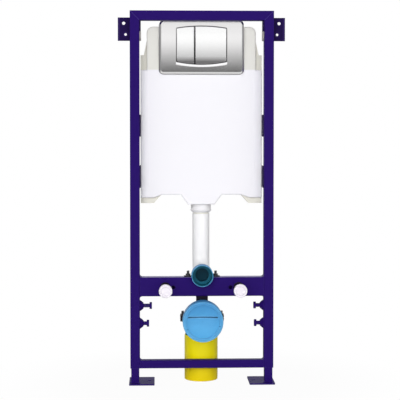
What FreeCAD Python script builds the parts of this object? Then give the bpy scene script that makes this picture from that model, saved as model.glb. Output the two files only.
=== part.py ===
"""Wall hung toilet frame: a mitred steel frame with cistern, flush pipe, drain bend and telescopic legs.

Millimetres, +Z up, front towards -Y. The origin is on the floor, midway between the posts and at the middle
of their depth.
"""

import FreeCAD, Part
import Sketcher
import math
import os

Vector = FreeCAD.Vector
Rotation = FreeCAD.Rotation

SIZES = {
    # Welded frame
    "frame_width": 450,
    "frame_height": 1120,
    "tube_width": 30,
    "tube_depth": 40,
    "tube_wall": 2,
    "tube_corner": 2.5,
    "foot_rail_height": 25,
    "foot_rail_depth": 30,
    # Telescopic legs
    "leg_reach": 50,
    "leg_play": 0.5,
    "leg_wall": 2,
    "leg_corner": 2,
    "leg_length": 420,
    "foot_plate_width": 80,
    "foot_plate_depth": 120,
    "foot_plate_thickness": 4,
    "foot_plate_corner": 4,
    "foot_plate_overhang": 4,
    "foot_plate_lead": 22.5,
    "foot_hole_diameter": 11,
    "foot_hole_inset": 16,
    # Leg lock screws
    "lock_drop": 31,
    "lock_pitch": 56,
    "boss_base_diameter": 36,
    "boss_shoulder_diameter": 28,
    "boss_tip_diameter": 18,
    "boss_height": 11.5,
    "screw_diameter": 12,
    "screw_play": 0.2,
    "screw_head_flats": 19,
    "screw_head_height": 7.5,
    "left_upper_screw_stand": 19,
    "left_lower_screw_stand": 10,
    "right_upper_screw_stand": 13,
    "right_lower_screw_stand": 11,
    # Wall brackets
    "bracket_drop": 19,
    "bracket_height": 73,
    "bracket_reach": 38,
    "bracket_thickness": 4,
    "bracket_cheek_height": 32,
    "bracket_cheek_play": 0.3,
    "bracket_cheek_depth": 28,
    "bracket_hole_diameter": 10,
    "bracket_low_hole_diameter": 8,
    "bracket_hole_inset": 18.5,
    "bracket_hole_drop": 18,
    "bracket_hole_step": 6,
    "bracket_hole_pitch": 35,
    "clip_height": 28,
    "clip_thickness": 5,
    "clip_corner": 6,
    # Bowl rail and its studs
    "bowl_rail_rise": 227,
    "bowl_rail_height": 60,
    "bowl_rail_wall": 3,
    "bowl_rail_bend": 4,
    "stud_lift": 28,
    "stud_spacing": 230,
    "spare_hole_spacing": 180,
    "stud_diameter": 12,
    "stud_hole_diameter": 13,
    "stud_tail": 30,
    "stud_nut_flats": 19,
    "stud_nut_height": 10,
    "stud_cap_reach": 98,
    "stud_cap_diameter": 41.5,
    "stud_cap_head": 15,
    "stud_cap_grip": 6,
    "stud_cap_sleeve_diameter": 22,
    "stud_cap_dish_diameter": 29,
    "stud_cap_dish_depth": 2,
    "stud_cap_round": 3,
    "stud_cap_play": 0.3,
    # Cistern
    "pad_rise_upper": 762,
    "pad_rise_lower": 601,
    "pad_height": 69,
    "pad_thickness": 2.5,
    "pad_lead": 8,
    "pad_corner": 12,
    "tank_play": 0.3,
    "tank_drop": 46,
    "tank_height": 531,
    "tank_depth": 70,
    "tank_wall": 4,
    "tank_round": 8,
    "cover_depth": 12,
    "shoulder_width": 345,
    "shoulder_height": 136,
    "shoulder_round": 20,
    "ear_height": 47,
    "ear_width": 10,
    "flare_height": 45,
    "tank_foot_drop": 27,
    "cover_foot_drop": 9,
    "tank_foot_width": 42,
    "tank_foot_slope": 24,
    "sump_top_width": 130,
    "sump_floor_width": 84,
    "sump_drop": 31,
    "service_width": 190,
    "service_height": 96,
    "panel_margin": 30,
    "panel_gap": 26,
    "panel_depth": 2,
    "panel_corner": 14,
    # Flush plate and buttons
    "plate_width": 266,
    "plate_height": 164.5,
    "plate_drop": 0.5,
    "plate_rail_gap": 3,
    "plate_edge": 13,
    "plate_crown": 9,
    "plate_crest": 38,
    "plate_roll": 0.2,
    "plate_corner": 13,
    "plate_top_corner": 18,
    "plate_bevel": 6,
    "plate_bevel_depth": 3,
    "plate_lip": 10,
    "plate_lip_wall": 5,
    "opening_margin": 52.5,
    "opening_corner": 5,
    "opening_rise": 61.75,
    "opening_fall": 44.25,
    "opening_top_bow": 7,
    "opening_foot_bow": 9,
    "scoop": 22,
    "button_gap": 2.5,
    "button_split": 4.5,
    "button_sink": 1,
    "small_button_width": 54,
    "button_flange": 4,
    "button_flange_wall": 2.5,
    "button_seat": 0.3,
    "button_round": 1,
    # Flush pipe
    "flush_lift": 8,
    "flush_pipe_diameter": 54,
    "flush_pipe_wall": 2.3,
    "flush_bend": 54,
    "flush_pipe_lead": 2,
    "spigot_play": 0.3,
    "spigot_bore": 40,
    "spigot_length": 58,
    "coupling_diameter": 67,
    "coupling_height": 27,
    "coupling_taper": 6.5,
    "coupling_lip": 1.7,
    "neck_height": 4,
    "flush_plug_diameter": 68,
    "flush_plug_length": 38,
    "flush_plug_wall": 3,
    "flush_plug_spigot": 20,
    "notch_play": 2,
    "clamp_play": 0.3,
    "flush_clamp_wall": 3,
    "flush_clamp_width": 24,
    "flush_clamp_ear": 26,
    "clamp_bolt_diameter": 8,
    "clamp_bolt_flats": 13,
    "clamp_nut_height": 6.5,
    "clamp_bolt_tail": 9,
    "clamp_bolt_play": 0.3,
    # Drain
    "drain_drop": 135,
    "drain_back": 65,
    "drain_diameter": 100,
    "drain_wall": 4,
    "drain_bend_radius": 70,
    "drain_front": 52,
    "drain_tail_rise": 30,
    "drain_clamp_wall": 3,
    "drain_clamp_width": 24,
    "drain_clamp_setback": 0.5,
    "drain_clamp_ear": 15,
    "drain_ear_wall": 4,
    "drain_ear_gap": 3,
    "hanger_width": 37,
    "hanger_wall": 4,
    "hanger_foot": 24,
    "drain_plug_diameter": 125,
    "drain_plug_front": 98,
    "drain_plug_length": 48,
    "drain_plug_wall": 3,
    "drain_plug_dish": 18,
    "drain_plug_spigot": 17,
    "plug_play": 0.3,
    "slot_rise": 11,
    "slot_width": 91,
    "slot_height": 4,
    "slot_depth": 4,
    "drain_cap_play": 0.3,
    "drain_cap_wall": 2.7,
    "drain_cap_floor": 8,
    "drain_cap_setback": 2,
    "drain_cap_ground": 1,
    "drain_cap_round": 9,
}

doc = FreeCAD.newDocument("toilet_frame")
sheet = doc.addObject("Spreadsheet::Sheet", "Sizes")
for row, (alias, number) in enumerate(SIZES.items(), start=1):
    sheet.set(f"A{row}", alias)
    sheet.set(f"B{row}", str(number))
    sheet.setAlias(f"B{row}", alias)
doc.recompute()


class Size:
    """A length that carries its number and the sheet expression that gives it."""

    def __init__(self, number, text=None):
        self.number = float(number)
        self.text = text if text else f"({self.number})"

    def joined(self, other, sign, number):
        return Size(number, f"({self.text} {sign} {as_size(other).text})")

    def __add__(self, other):
        return self.joined(other, "+", self.number + as_size(other).number)

    def __sub__(self, other):
        return self.joined(other, "-", self.number - as_size(other).number)

    def __mul__(self, other):
        return self.joined(other, "*", self.number * as_size(other).number)

    def __truediv__(self, other):
        return self.joined(other, "/", self.number / as_size(other).number)

    def __neg__(self):
        return Size(-self.number, f"(-1 * {self.text})")

    __radd__ = __add__

    def __rsub__(self, other):
        return as_size(other) - self


def as_size(value):
    return value if isinstance(value, Size) else Size(value)


def square_root(value):
    return Size(math.sqrt(value.number), f"sqrt({value.text})")


class Sizes:
    """The sheet's values by name."""

    def __getattr__(self, name):
        return Size(SIZES[name], f"Sizes.{name}")


size = Sizes()
ZERO = Size(0)
FORWARD = Rotation(Vector(1, 0, 0), 90)
TO_RIGHT = Rotation(Vector(0, 1, 0), 90)
TO_LEFT = Rotation(Vector(0, 1, 0), -90)
UPRIGHT = Rotation()
ABOUT = Rotation(Vector(0, 0, 1), 180)
ROOT_THREE = math.sqrt(3)

nodes = {}


def node(name, thing):
    """Keep a finished sub-part under the name that its file gets."""
    thing.Label = name
    nodes[name] = thing
    return thing


def bind(thing, prop, value):
    thing.setExpression(prop, as_size(value).text)


def place(thing, x=ZERO, y=ZERO, z=ZERO, turn=UPRIGHT):
    """Set a turn and bind the position."""
    thing.Placement = FreeCAD.Placement(Vector(0, 0, 0), turn)
    bind(thing, "Placement.Base.x", x)
    bind(thing, "Placement.Base.y", y)
    bind(thing, "Placement.Base.z", z)
    return thing


def new_body(name):
    return doc.addObject("PartDesign::Body", name)


def new_sketch(body, plane, offset=ZERO):
    """A sketch on one of the body's own origin planes, moved along the plane's normal."""
    sketch = body.newObject("Sketcher::SketchObject", body.Name + "_sketch")
    support = [item for item in body.Origin.OriginFeatures if item.Role == plane + "_Plane"][0]
    sketch.AttachmentSupport = [(support, "")]
    sketch.MapMode = "FlatFace"
    bind(sketch, "AttachmentOffset.Base.z", offset)
    return sketch


def fix_point(sketch, geometry, point, across, up):
    for kind, value in (("DistanceX", across), ("DistanceY", up)):
        value = as_size(value)
        index = sketch.addConstraint(Sketcher.Constraint(kind, geometry, point, value.number))
        bind(sketch, f"Constraints[{index}]", value)


def arc_between(start, end, radius, side):
    """An arc from start to end that bulges to the left (1) or right (-1) of the way between them.

    It always runs anticlockwise, so one that bulges to the left starts at end.
    """
    chord = end - start
    half = chord.Length / 2
    rise = radius - math.sqrt(radius * radius - half * half)
    left = Vector(-chord.y, chord.x, 0).normalize()
    middle = (start + end) * 0.5 + left * (rise * side)
    return Part.Arc(end, middle, start) if side > 0 else Part.Arc(start, middle, end)


def draw_path(sketch, corners, closed=True):
    """Lines through corners (across, up), or an arc after a corner (across, up, radius, side)."""
    points = [Vector(as_size(corner[0]).number, as_size(corner[1]).number, 0) for corner in corners]
    count = len(corners) if closed else len(corners) - 1
    ends = []
    for i in range(count):
        start, end = points[i], points[(i + 1) % len(points)]
        if len(corners[i]) == 2:
            piece = sketch.addGeometry(Part.LineSegment(start, end), False)
            ends.append((piece, 1, 2))
            continue
        radius, side = corners[i][2], corners[i][3]
        piece = sketch.addGeometry(arc_between(start, end, radius.number, side), False)
        ends.append((piece, 2, 1) if side > 0 else (piece, 1, 2))
    for i in range(count if closed else count - 1):
        here, following = ends[i], ends[(i + 1) % count]
        sketch.addConstraint(Sketcher.Constraint("Coincident", here[0], here[2], following[0], following[1]))
    for i, corner in enumerate(corners):
        piece, first, last = ends[min(i, count - 1)]
        fix_point(sketch, piece, first if i < count else last, corner[0], corner[1])
    for i in range(count):
        if len(corners[i]) == 4:
            index = sketch.addConstraint(Sketcher.Constraint("Radius", ends[i][0], corners[i][2].number))
            bind(sketch, f"Constraints[{index}]", corners[i][2])


def draw_circle(sketch, across, up, radius):
    across, up = as_size(across), as_size(up)
    centre = Vector(across.number, up.number, 0)
    piece = sketch.addGeometry(Part.Circle(centre, Vector(0, 0, 1), radius.number), False)
    fix_point(sketch, piece, 3, across, up)
    index = sketch.addConstraint(Sketcher.Constraint("Radius", piece, radius.number))
    bind(sketch, f"Constraints[{index}]", radius)


def rectangle(low_across, high_across, low_up, high_up):
    return [(low_across, low_up), (high_across, low_up), (high_across, high_up), (low_across, high_up)]


def hexagon(flats):
    """A hexagon by its width across flats, centred."""
    corner = flats / ROOT_THREE
    return [(corner, ZERO), (corner / 2, flats / 2), (-corner / 2, flats / 2),
            (-corner, ZERO), (-corner / 2, -flats / 2), (corner / 2, -flats / 2)]


def pad(body, plane, corners, low, high):
    """Extrude an outline from low to high along the plane's world axis."""
    sketch = new_sketch(body, plane, -high if plane == "XZ" else low)
    draw_path(sketch, corners)
    return pad_sketch(body, sketch, high - low)


def pad_sketch(body, sketch, length):
    feature = body.newObject("PartDesign::Pad", body.Name + "_pad")
    feature.Profile = sketch
    bind(feature, "Length", length)
    doc.recompute()
    return feature


def cut_through(body, plane, corners=None, circles=()):
    """Cut an outline or circles right through the body."""
    sketch = new_sketch(body, plane)
    if corners:
        draw_path(sketch, corners)
    for across, up, radius in circles:
        draw_circle(sketch, across, up, radius)
    feature = body.newObject("PartDesign::Pocket", body.Name + "_cut")
    feature.Profile = sketch
    feature.Type = "ThroughAll"
    feature.SideType = "Symmetric"
    doc.recompute()
    return feature


def cut_between(body, plane, corners, low, high):
    """Cut an outline from low to high along the plane's world axis."""
    sketch = new_sketch(body, plane, -low if plane == "XZ" else high)
    draw_path(sketch, corners)
    feature = body.newObject("PartDesign::Pocket", body.Name + "_cut")
    feature.Profile = sketch
    bind(feature, "Length", high - low)
    doc.recompute()
    return feature


def revolve(body, profile):
    """Turn a closed profile of (radius, height) corners about the body's Z axis."""
    sketch = new_sketch(body, "XZ")
    draw_path(sketch, profile)
    feature = body.newObject("PartDesign::Revolution", body.Name + "_turn")
    feature.Profile = sketch
    feature.ReferenceAxis = (sketch, ["V_Axis"])
    feature.Angle = 360
    doc.recompute()
    return feature


def turned(name, profile, x=ZERO, y=ZERO, z=ZERO, turn=UPRIGHT):
    body = new_body(name)
    revolve(body, profile)
    return place(body, x, y, z, turn)


def edges_of(shape, wanted):
    return [f"Edge{index}" for index, edge in enumerate(shape.Edges, start=1) if wanted(edge)]


def runs_along(axis):
    """A test for straight edges along an axis."""
    def wanted(edge):
        return edge.Curve.TypeId == "Part::GeomLine" and abs(edge.Curve.Direction.dot(axis)) > 0.999
    return wanted


def round_edges(body, radius, wanted, kind="Fillet"):
    base = body.Tip
    feature = body.newObject("PartDesign::" + kind, body.Name + "_" + kind.lower())
    feature.Base = (base, edges_of(base.Shape, wanted))
    bind(feature, "Radius" if kind == "Fillet" else "Size", radius)
    doc.recompute()
    return feature


def box(name, low, high):
    """A block between two corners."""
    thing = doc.addObject("Part::Box", name)
    for prop, start, end in zip(("Length", "Width", "Height"), low, high):
        bind(thing, prop, as_size(end) - start)
    return place(thing, *low)


def rod(name, radius, length, x=ZERO, y=ZERO, z=ZERO, turn=UPRIGHT):
    thing = doc.addObject("Part::Cylinder", name)
    bind(thing, "Radius", radius)
    bind(thing, "Height", length)
    return place(thing, x, y, z, turn)


def fused(name, things):
    thing = doc.addObject("Part::MultiFuse", name)
    thing.Shapes = things
    return thing


def cut(name, base, tools):
    thing = doc.addObject("Part::Cut", name)
    thing.Base = base
    thing.Tool = tools[0] if len(tools) == 1 else fused(name + "_tools", tools)
    return thing


def gathered(name, things):
    """Separate solids that share one node."""
    thing = doc.addObject("Part::Compound", name)
    thing.Links = things
    return thing


X_AXIS, Y_AXIS, Z_AXIS = Vector(1, 0, 0), Vector(0, 1, 0), Vector(0, 0, 1)

# Planes and levels that several pieces share
side = size.frame_width / 2
inner_side = side - size.tube_width
post_middle = side - size.tube_width / 2
base = size.leg_reach
top = base + size.frame_height
front = -size.tube_depth / 2
back = size.tube_depth / 2
rail_low = base + size.bowl_rail_rise
rail_high = rail_low + size.bowl_rail_height
hands = {"left": -1, "right": 1}


def handed(sign, low, high):
    """Two distances from the middle as the low and high X on one hand."""
    return (low, high) if sign > 0 else (-high, -low)


def tube(name, width, depth, wall, corner, length, mitres):
    """A square tube along local Z with its outer side towards local -X, mitred at the ends named."""
    body = new_body(name)
    pad(body, "XY", rectangle(-width / 2, width / 2, -depth / 2, depth / 2), ZERO, length)
    round_edges(body, corner, runs_along(Z_AXIS))
    cut_through(body, "XY", rectangle(wall - width / 2, width / 2 - wall, wall - depth / 2, depth / 2 - wall))
    if "low" in mitres:
        cut_through(body, "XZ", [(-width / 2, ZERO), (width / 2, ZERO), (width / 2, width)])
    if "high" in mitres:
        cut_through(body, "XZ", [(-width / 2, length), (width / 2, length - width), (width / 2, length)])
    return body


def frame_tube(name, length, mitres):
    return tube(name, size.tube_width, size.tube_depth, size.tube_wall, size.tube_corner, length, mitres)


# Posts, with a hole for each lock screw in the inner wall
screw_radius = size.screw_diameter / 2
screw_hole = screw_radius + size.screw_play
lock_level = rail_low - size.lock_drop
lock_levels = {"upper": lock_level, "lower": lock_level - size.lock_pitch}
for hand, sign in hands.items():
    post = place(frame_tube(f"{hand}_post_tube", size.frame_height, ["high"]), post_middle * sign, ZERO, base,
                 UPRIGHT if sign < 0 else ABOUT)
    holes = [rod(f"{hand}_{level}_screw_hole", screw_hole, size.tube_width / 2, post_middle * sign, ZERO, z,
                 TO_LEFT if sign > 0 else TO_RIGHT) for level, z in lock_levels.items()]
    node(f"{hand}_post", cut(f"{hand}_post_cut", post, holes))

# Rails
top_rail = frame_tube("top_rail_tube", size.frame_width, ["low", "high"])
node("top_rail", place(top_rail, -side, ZERO, top - size.tube_width / 2, TO_RIGHT))
bottom_rail = tube("bottom_rail_tube", size.foot_rail_height, size.foot_rail_depth, size.tube_wall,
                   size.tube_corner, inner_side * 2, [])
node("bottom_rail", place(bottom_rail, -inner_side, front + size.foot_rail_depth / 2,
                          base + size.foot_rail_height / 2, TO_RIGHT))

# Bowl rail: a tube notched for the flush pipe, with stud holes in its front wall
wall = size.bowl_rail_wall
flush_level = rail_high + size.flush_lift
flush_radius = size.flush_pipe_diameter / 2
stud_level = rail_low + size.stud_lift
bowl_tube = tube("bowl_rail_tube", size.bowl_rail_height, size.tube_depth, wall, size.bowl_rail_bend,
                 inner_side * 2, [])
place(bowl_tube, -inner_side, ZERO, (rail_low + rail_high) / 2, TO_RIGHT)
notch = rod("flush_notch", flush_radius + size.notch_play, size.tube_depth, ZERO, back, flush_level, FORWARD)
stud_hole = size.stud_hole_diameter / 2
stud_holes = [rod("stud_hole", stud_hole, wall, spacing / 2 * sign, front + wall, stud_level, FORWARD)
              for spacing in (size.stud_spacing, size.spare_hole_spacing) for sign in hands.values()]
node("bowl_rail", cut("bowl_rail_cut", bowl_tube, [notch] + stud_holes))

# Bowl studs with their nuts, and the sleeves and caps on them
for hand, sign in hands.items():
    stud_x = size.stud_spacing / 2 * sign
    shank_length = size.stud_cap_reach - size.stud_cap_head + size.stud_cap_grip + size.stud_tail
    shank = rod(f"{hand}_stud_shank", size.stud_diameter / 2, shank_length, stud_x,
                front + size.stud_tail, stud_level, FORWARD)
    nuts = []
    for place_name, nut_y in (("front", front), ("back", front + wall + size.stud_nut_height)):
        nut = new_body(f"{hand}_stud_{place_name}_nut")
        pad(nut, "XY", hexagon(size.stud_nut_flats), ZERO, size.stud_nut_height)
        nuts.append(place(nut, stud_x, nut_y, stud_level, FORWARD))
    node(f"{hand}_bowl_stud", fused(f"{hand}_stud_fused", [shank] + nuts))
    bore = size.stud_diameter / 2 + size.stud_cap_play
    sleeve = size.stud_cap_sleeve_diameter / 2
    head = size.stud_cap_diameter / 2
    dish = size.stud_cap_dish_diameter / 2
    seat = size.stud_nut_height
    reach = size.stud_cap_reach
    head_back = reach - size.stud_cap_head
    soft = size.stud_cap_round
    socket = head_back + size.stud_cap_grip + size.stud_cap_play
    dish_floor = reach - size.stud_cap_dish_depth
    sleeve_line = [(bore, seat), (sleeve, seat), (sleeve, head_back), (bore, head_back)]
    node(f"{hand}_stud_sleeve", turned(f"{hand}_stud_sleeve_turned", sleeve_line, stud_x, front, stud_level,
                                       FORWARD))
    cap_line = [(bore, head_back), (head - soft, head_back), (head, head_back + soft),
                (head, reach - soft, soft, -1), (head - soft, reach), (dish, reach),
                (dish - size.stud_cap_dish_depth, dish_floor), (ZERO, dish_floor), (ZERO, socket),
                (bore, socket)]
    node(f"{hand}_stud_cap", turned(f"{hand}_stud_cap_turned", cap_line, stud_x, front, stud_level, FORWARD))

# Legs and foot plates
leg_width = size.tube_width - (size.tube_wall + size.leg_play) * 2
leg_depth = size.tube_depth - (size.tube_wall + size.leg_play) * 2
plate_top = size.foot_plate_thickness
for hand, sign in hands.items():
    leg = tube(f"{hand}_leg_tube", leg_width, leg_depth, size.leg_wall, size.leg_corner, size.leg_length, [])
    node(f"{hand}_leg", place(leg, post_middle * sign, ZERO, plate_top))
    plate_outer = side + size.foot_plate_overhang
    plate_inner = plate_outer - size.foot_plate_width
    plate_front = -leg_depth / 2 - size.foot_plate_lead
    plate_back = plate_front + size.foot_plate_depth
    foot = new_body(f"{hand}_foot_plate_body")
    low_x, high_x = handed(sign, plate_inner, plate_outer)
    pad(foot, "XY", rectangle(low_x, high_x, plate_front, plate_back), ZERO, plate_top)
    round_edges(foot, size.foot_plate_corner, runs_along(Z_AXIS))
    hole_x = (plate_inner + size.foot_hole_inset) * sign
    cut_through(foot, "XY", circles=[(hole_x, (plate_front + plate_back) / 2, size.foot_hole_diameter / 2)])
    node(f"{hand}_foot_plate", foot)

# Lock bosses on the posts' inner faces, and the screws in them
for hand, sign in hands.items():
    inward = TO_RIGHT if sign < 0 else TO_LEFT
    bosses, screws = [], []
    for level, z in lock_levels.items():
        rim = size.boss_base_diameter / 2
        shoulder = size.boss_shoulder_diameter / 2
        tip = size.boss_tip_diameter / 2
        bosses.append(turned(f"{hand}_{level}_boss", [
            (screw_hole, ZERO), (rim, ZERO), (shoulder, size.boss_height / 2), (tip, size.boss_height),
            (screw_hole, size.boss_height)], inner_side * sign, ZERO, z, inward))
        stand = getattr(size, f"{hand}_{level}_screw_stand") + size.boss_height
        shank = rod(f"{hand}_{level}_shank", screw_radius, stand + size.tube_wall,
                    (inner_side + size.tube_wall) * sign, ZERO, z, inward)
        head = new_body(f"{hand}_{level}_head")
        pad(head, "XY", hexagon(size.screw_head_flats), ZERO, size.screw_head_height)
        place(head, (inner_side - stand) * sign, ZERO, z, inward)
        screws.append(fused(f"{hand}_{level}_screw", [shank, head]))
    node(f"{hand}_lock_bosses", gathered(f"{hand}_bosses", bosses))
    node(f"{hand}_lock_screws", gathered(f"{hand}_screws", screws))

# Wall brackets behind the posts, each with a cheek and a clip on the post's inner face
bracket_high = top - size.bracket_drop
bracket_low = bracket_high - size.bracket_height
for hand, sign in hands.items():
    tab_end = side + size.bracket_reach
    cheek_end = inner_side - size.bracket_thickness
    cheek_high = top - size.tube_width - size.bracket_cheek_play
    cheek_low = cheek_high - size.bracket_cheek_height
    cheek_front = back - size.bracket_cheek_depth
    low_x, high_x = handed(sign, cheek_end, tab_end)
    tab_back = back + size.bracket_thickness
    tab = box(f"{hand}_bracket_tab", (low_x, back, bracket_low), (high_x, tab_back, bracket_high))
    low_x, high_x = handed(sign, cheek_end, inner_side)
    cheek = box(f"{hand}_bracket_cheek", (low_x, cheek_front, cheek_low), (high_x, back, cheek_high))
    high_x = (tab_end - size.bracket_hole_inset) * sign
    low_x = high_x - size.bracket_hole_step * sign
    high_z = bracket_high - size.bracket_hole_drop
    low_z = high_z - size.bracket_hole_pitch
    holes = [rod(f"{hand}_{level}_hole", bore / 2, size.bracket_thickness, x, tab_back, z, FORWARD)
             for level, bore, x, z in (("upper", size.bracket_hole_diameter, high_x, high_z),
                                       ("lower", size.bracket_low_hole_diameter, low_x, low_z))]
    node(f"{hand}_wall_bracket", cut(f"{hand}_bracket", fused(f"{hand}_bracket_blank", [tab, cheek]), holes))
    clip = new_body(f"{hand}_clip")
    low_x, high_x = handed(sign, inner_side - size.clip_thickness, inner_side)
    nip = size.clip_corner
    clip_high = bracket_low + size.clip_height
    pad(clip, "YZ", [(cheek_front, bracket_low + nip), (cheek_front + nip, bracket_low), (back, bracket_low),
                     (back, clip_high), (cheek_front, clip_high)], low_x, high_x)
    node(f"{hand}_bracket_clip", clip)

# Cistern: the tank behind, the cover in front, held between four pads on the posts
tank_front = back + size.plate_rail_gap + size.plate_edge
split = tank_front + size.cover_depth
tank_back = split + size.tank_depth
tank_top = top - size.tank_drop
tank_floor = tank_top - size.tank_height
waist = tank_top - size.shoulder_height
tank_side = inner_side - size.pad_thickness - size.tank_play
shoulder = size.shoulder_width / 2
for hand, sign in hands.items():
    pads = []
    for level, rise in (("upper", size.pad_rise_upper), ("lower", size.pad_rise_lower)):
        low_z = base + rise - size.pad_height / 2
        high_z = low_z + size.pad_height
        low_y = front + size.pad_lead
        nip = size.pad_corner
        piece = new_body(f"{hand}_{level}_pad")
        low_x, high_x = handed(sign, inner_side - size.pad_thickness, inner_side)
        pad(piece, "YZ", [(low_y + nip, low_z), (tank_back - nip, low_z), (tank_back, low_z + nip),
                          (tank_back, high_z - nip), (tank_back - nip, high_z), (low_y + nip, high_z),
                          (low_y, high_z - nip), (low_y, low_z + nip)], low_x, high_x)
        pads.append(piece)
    node(f"{hand}_cistern_pads", gathered(f"{hand}_pads", pads))


def floor_line(foot_drop, sump_drop):
    """The cistern's underside from left to right: two feet and the sump between them."""
    foot_end = tank_side - size.tank_foot_width
    right = [(size.sump_floor_width / 2, tank_floor - sump_drop), (size.sump_top_width / 2, tank_floor),
             (foot_end - size.tank_foot_slope, tank_floor), (foot_end, tank_floor - foot_drop),
             (tank_side, tank_floor - foot_drop)]
    left = [(-across, up) for across, up in reversed(right)]
    return left + right


def mirrored(right):
    """A right-hand outline going up, followed by its mirror image going down."""
    return right + [(-across, up) for across, up in reversed(right)]


PANELS = 3


def is_panel_corner(edge):
    """A short edge along the depth at a corner of one of the sunk panels in the tank's back."""
    return runs_along(Y_AXIS)(edge) and abs(edge.Length - size.panel_depth.number) < 0.01


wall = size.tank_wall
hollow = [(-(tank_side - wall), tank_floor + wall), (tank_side - wall, tank_floor + wall)] + mirrored(
    [(tank_side - wall, waist - wall), (shoulder - wall, waist - wall), (shoulder - wall, tank_top - wall)])
sump_level = tank_floor - size.sump_drop
pipe_y = split + size.tank_depth / 2
spigot_radius = flush_radius - size.flush_pipe_wall - size.spigot_play
spigot_low = sump_level - size.spigot_length

tank = new_body("cistern_tank_body")
ear_top = waist + size.ear_height
tank_line = floor_line(size.tank_foot_drop, size.sump_drop) + mirrored([
    (tank_side, ear_top), (tank_side - size.ear_width, ear_top), (shoulder, ear_top + size.flare_height),
    (shoulder, tank_top)])
pad(tank, "XZ", tank_line, split, tank_back)
round_edges(tank, size.shoulder_round,
            lambda edge: runs_along(Y_AXIS)(edge) and abs(edge.Vertexes[0].Z - tank_top.number) < 0.01)
round_edges(tank, size.tank_round, lambda edge: abs(edge.BoundBox.YMin - tank_back.number) < 0.01)
cut_between(tank, "XZ", hollow, split, tank_back - wall)
spigot_sketch = new_sketch(tank, "XY", spigot_low)
draw_circle(spigot_sketch, ZERO, pipe_y, spigot_radius)
pad_sketch(tank, spigot_sketch, size.spigot_length)
bore_sketch = new_sketch(tank, "XY", tank_floor + wall)
draw_circle(bore_sketch, ZERO, pipe_y, size.spigot_bore / 2)
bore = tank.newObject("PartDesign::Pocket", "spigot_bore_cut")
bore.Profile = bore_sketch
bind(bore, "Length", size.spigot_length + size.sump_drop + wall)
panel_side = shoulder - size.panel_margin
panels_low = tank_floor + size.panel_margin
panels_high = tank_top - size.panel_margin
panel_height = (panels_high - panels_low - size.panel_gap * (PANELS - 1)) / PANELS
for i in range(PANELS):
    panel_low = panels_low + (panel_height + size.panel_gap) * i
    cut_between(tank, "XZ", rectangle(-panel_side, panel_side, panel_low, panel_low + panel_height),
                tank_back - size.panel_depth, tank_back)
round_edges(tank, size.panel_corner, is_panel_corner)
node("cistern_tank", tank)

plate_high = top - size.tube_width - size.plate_drop
plate_middle = plate_high - size.plate_height / 2
opening_middle = plate_middle + (size.opening_rise - size.opening_fall) / 2
cover = new_body("cistern_front_body")
pad(cover, "XZ", floor_line(size.cover_foot_drop, size.sump_drop) + mirrored(
    [(tank_side, waist), (shoulder, waist), (shoulder, tank_top)]), tank_front, split)
round_edges(cover, size.shoulder_round,
            lambda edge: runs_along(Y_AXIS)(edge) and abs(edge.Vertexes[0].Z - tank_top.number) < 0.01)
round_edges(cover, size.tank_round / 2, lambda edge: abs(edge.BoundBox.YMax - tank_front.number) < 0.01)
cut_between(cover, "XZ", hollow, tank_front + wall, split)
cut_through(cover, "XZ", rectangle(-size.service_width / 2, size.service_width / 2,
                                   opening_middle - size.service_height / 2,
                                   opening_middle + size.service_height / 2))
node("cistern_front", cover)

# Flush plate: a crowned plate with an arched opening, scooped below the buttons
plate_low = plate_high - size.plate_height
blank_high = plate_high + size.plate_bevel
crest_level = plate_high - size.plate_crest
edge_y = tank_front - size.plate_edge
crown_y = edge_y - size.plate_crown
opening_side = size.plate_width / 2 - size.opening_margin


def bow_radius(half_span, bow):
    """The radius of an arc that falls by bow from its crest over half_span."""
    return (half_span * half_span + bow * bow) / (bow * 2)


def arched_outline(left, right, grow):
    """The opening's outline between two distances across, grown or shrunk all round by grow."""
    top_bow = bow_radius(opening_side, size.opening_top_bow)
    foot_bow = bow_radius(opening_side, size.opening_foot_bow)
    top_radius = top_bow + grow
    foot_radius = foot_bow + grow
    top_centre = plate_middle + size.opening_rise + size.opening_top_bow - top_bow
    foot_centre = plate_middle - size.opening_fall - size.opening_foot_bow + foot_bow

    def on_top(across):
        return top_centre + square_root(top_radius * top_radius - across * across)

    def on_foot(across):
        return foot_centre - square_root(foot_radius * foot_radius - across * across)

    return [(left, on_foot(left), foot_radius, -1), (right, on_foot(right)),
            (right, on_top(right), top_radius, -1), (left, on_top(left))]


def crown_front(body, sink):
    """Cut away what stands in front of the crowned face."""
    front_y = crown_y - size.plate_crown
    foot_radius = bow_radius(crest_level - plate_low, size.plate_crown)
    top_radius = bow_radius(blank_high - crest_level, size.plate_roll)
    cut_through(body, "YZ", [(front_y, plate_low), (edge_y + sink, plate_low, foot_radius, 1),
                             (crown_y + sink, crest_level, top_radius, 1),
                             (crown_y + size.plate_roll + sink, blank_high), (front_y, blank_high)])


def crowned_faces(shape):
    """The names of the faces that bow across the width."""
    return [f"Face{index}" for index, face in enumerate(shape.Faces, start=1)
            if face.Surface.TypeId == "Part::GeomCylinder" and abs(face.Surface.Axis.dot(X_AXIS)) > 0.999]


def is_high(edge):
    """An edge that starts in the plate's upper half."""
    return edge.Vertexes[0].Z > plate_middle.number


def is_upper_corner(edge, across):
    """An edge along the depth at an upper corner of the opening or of a button."""
    return (runs_along(Y_AXIS)(edge) and is_high(edge)
            and abs(abs(edge.Vertexes[0].X) - across.number) < 0.01)


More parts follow.
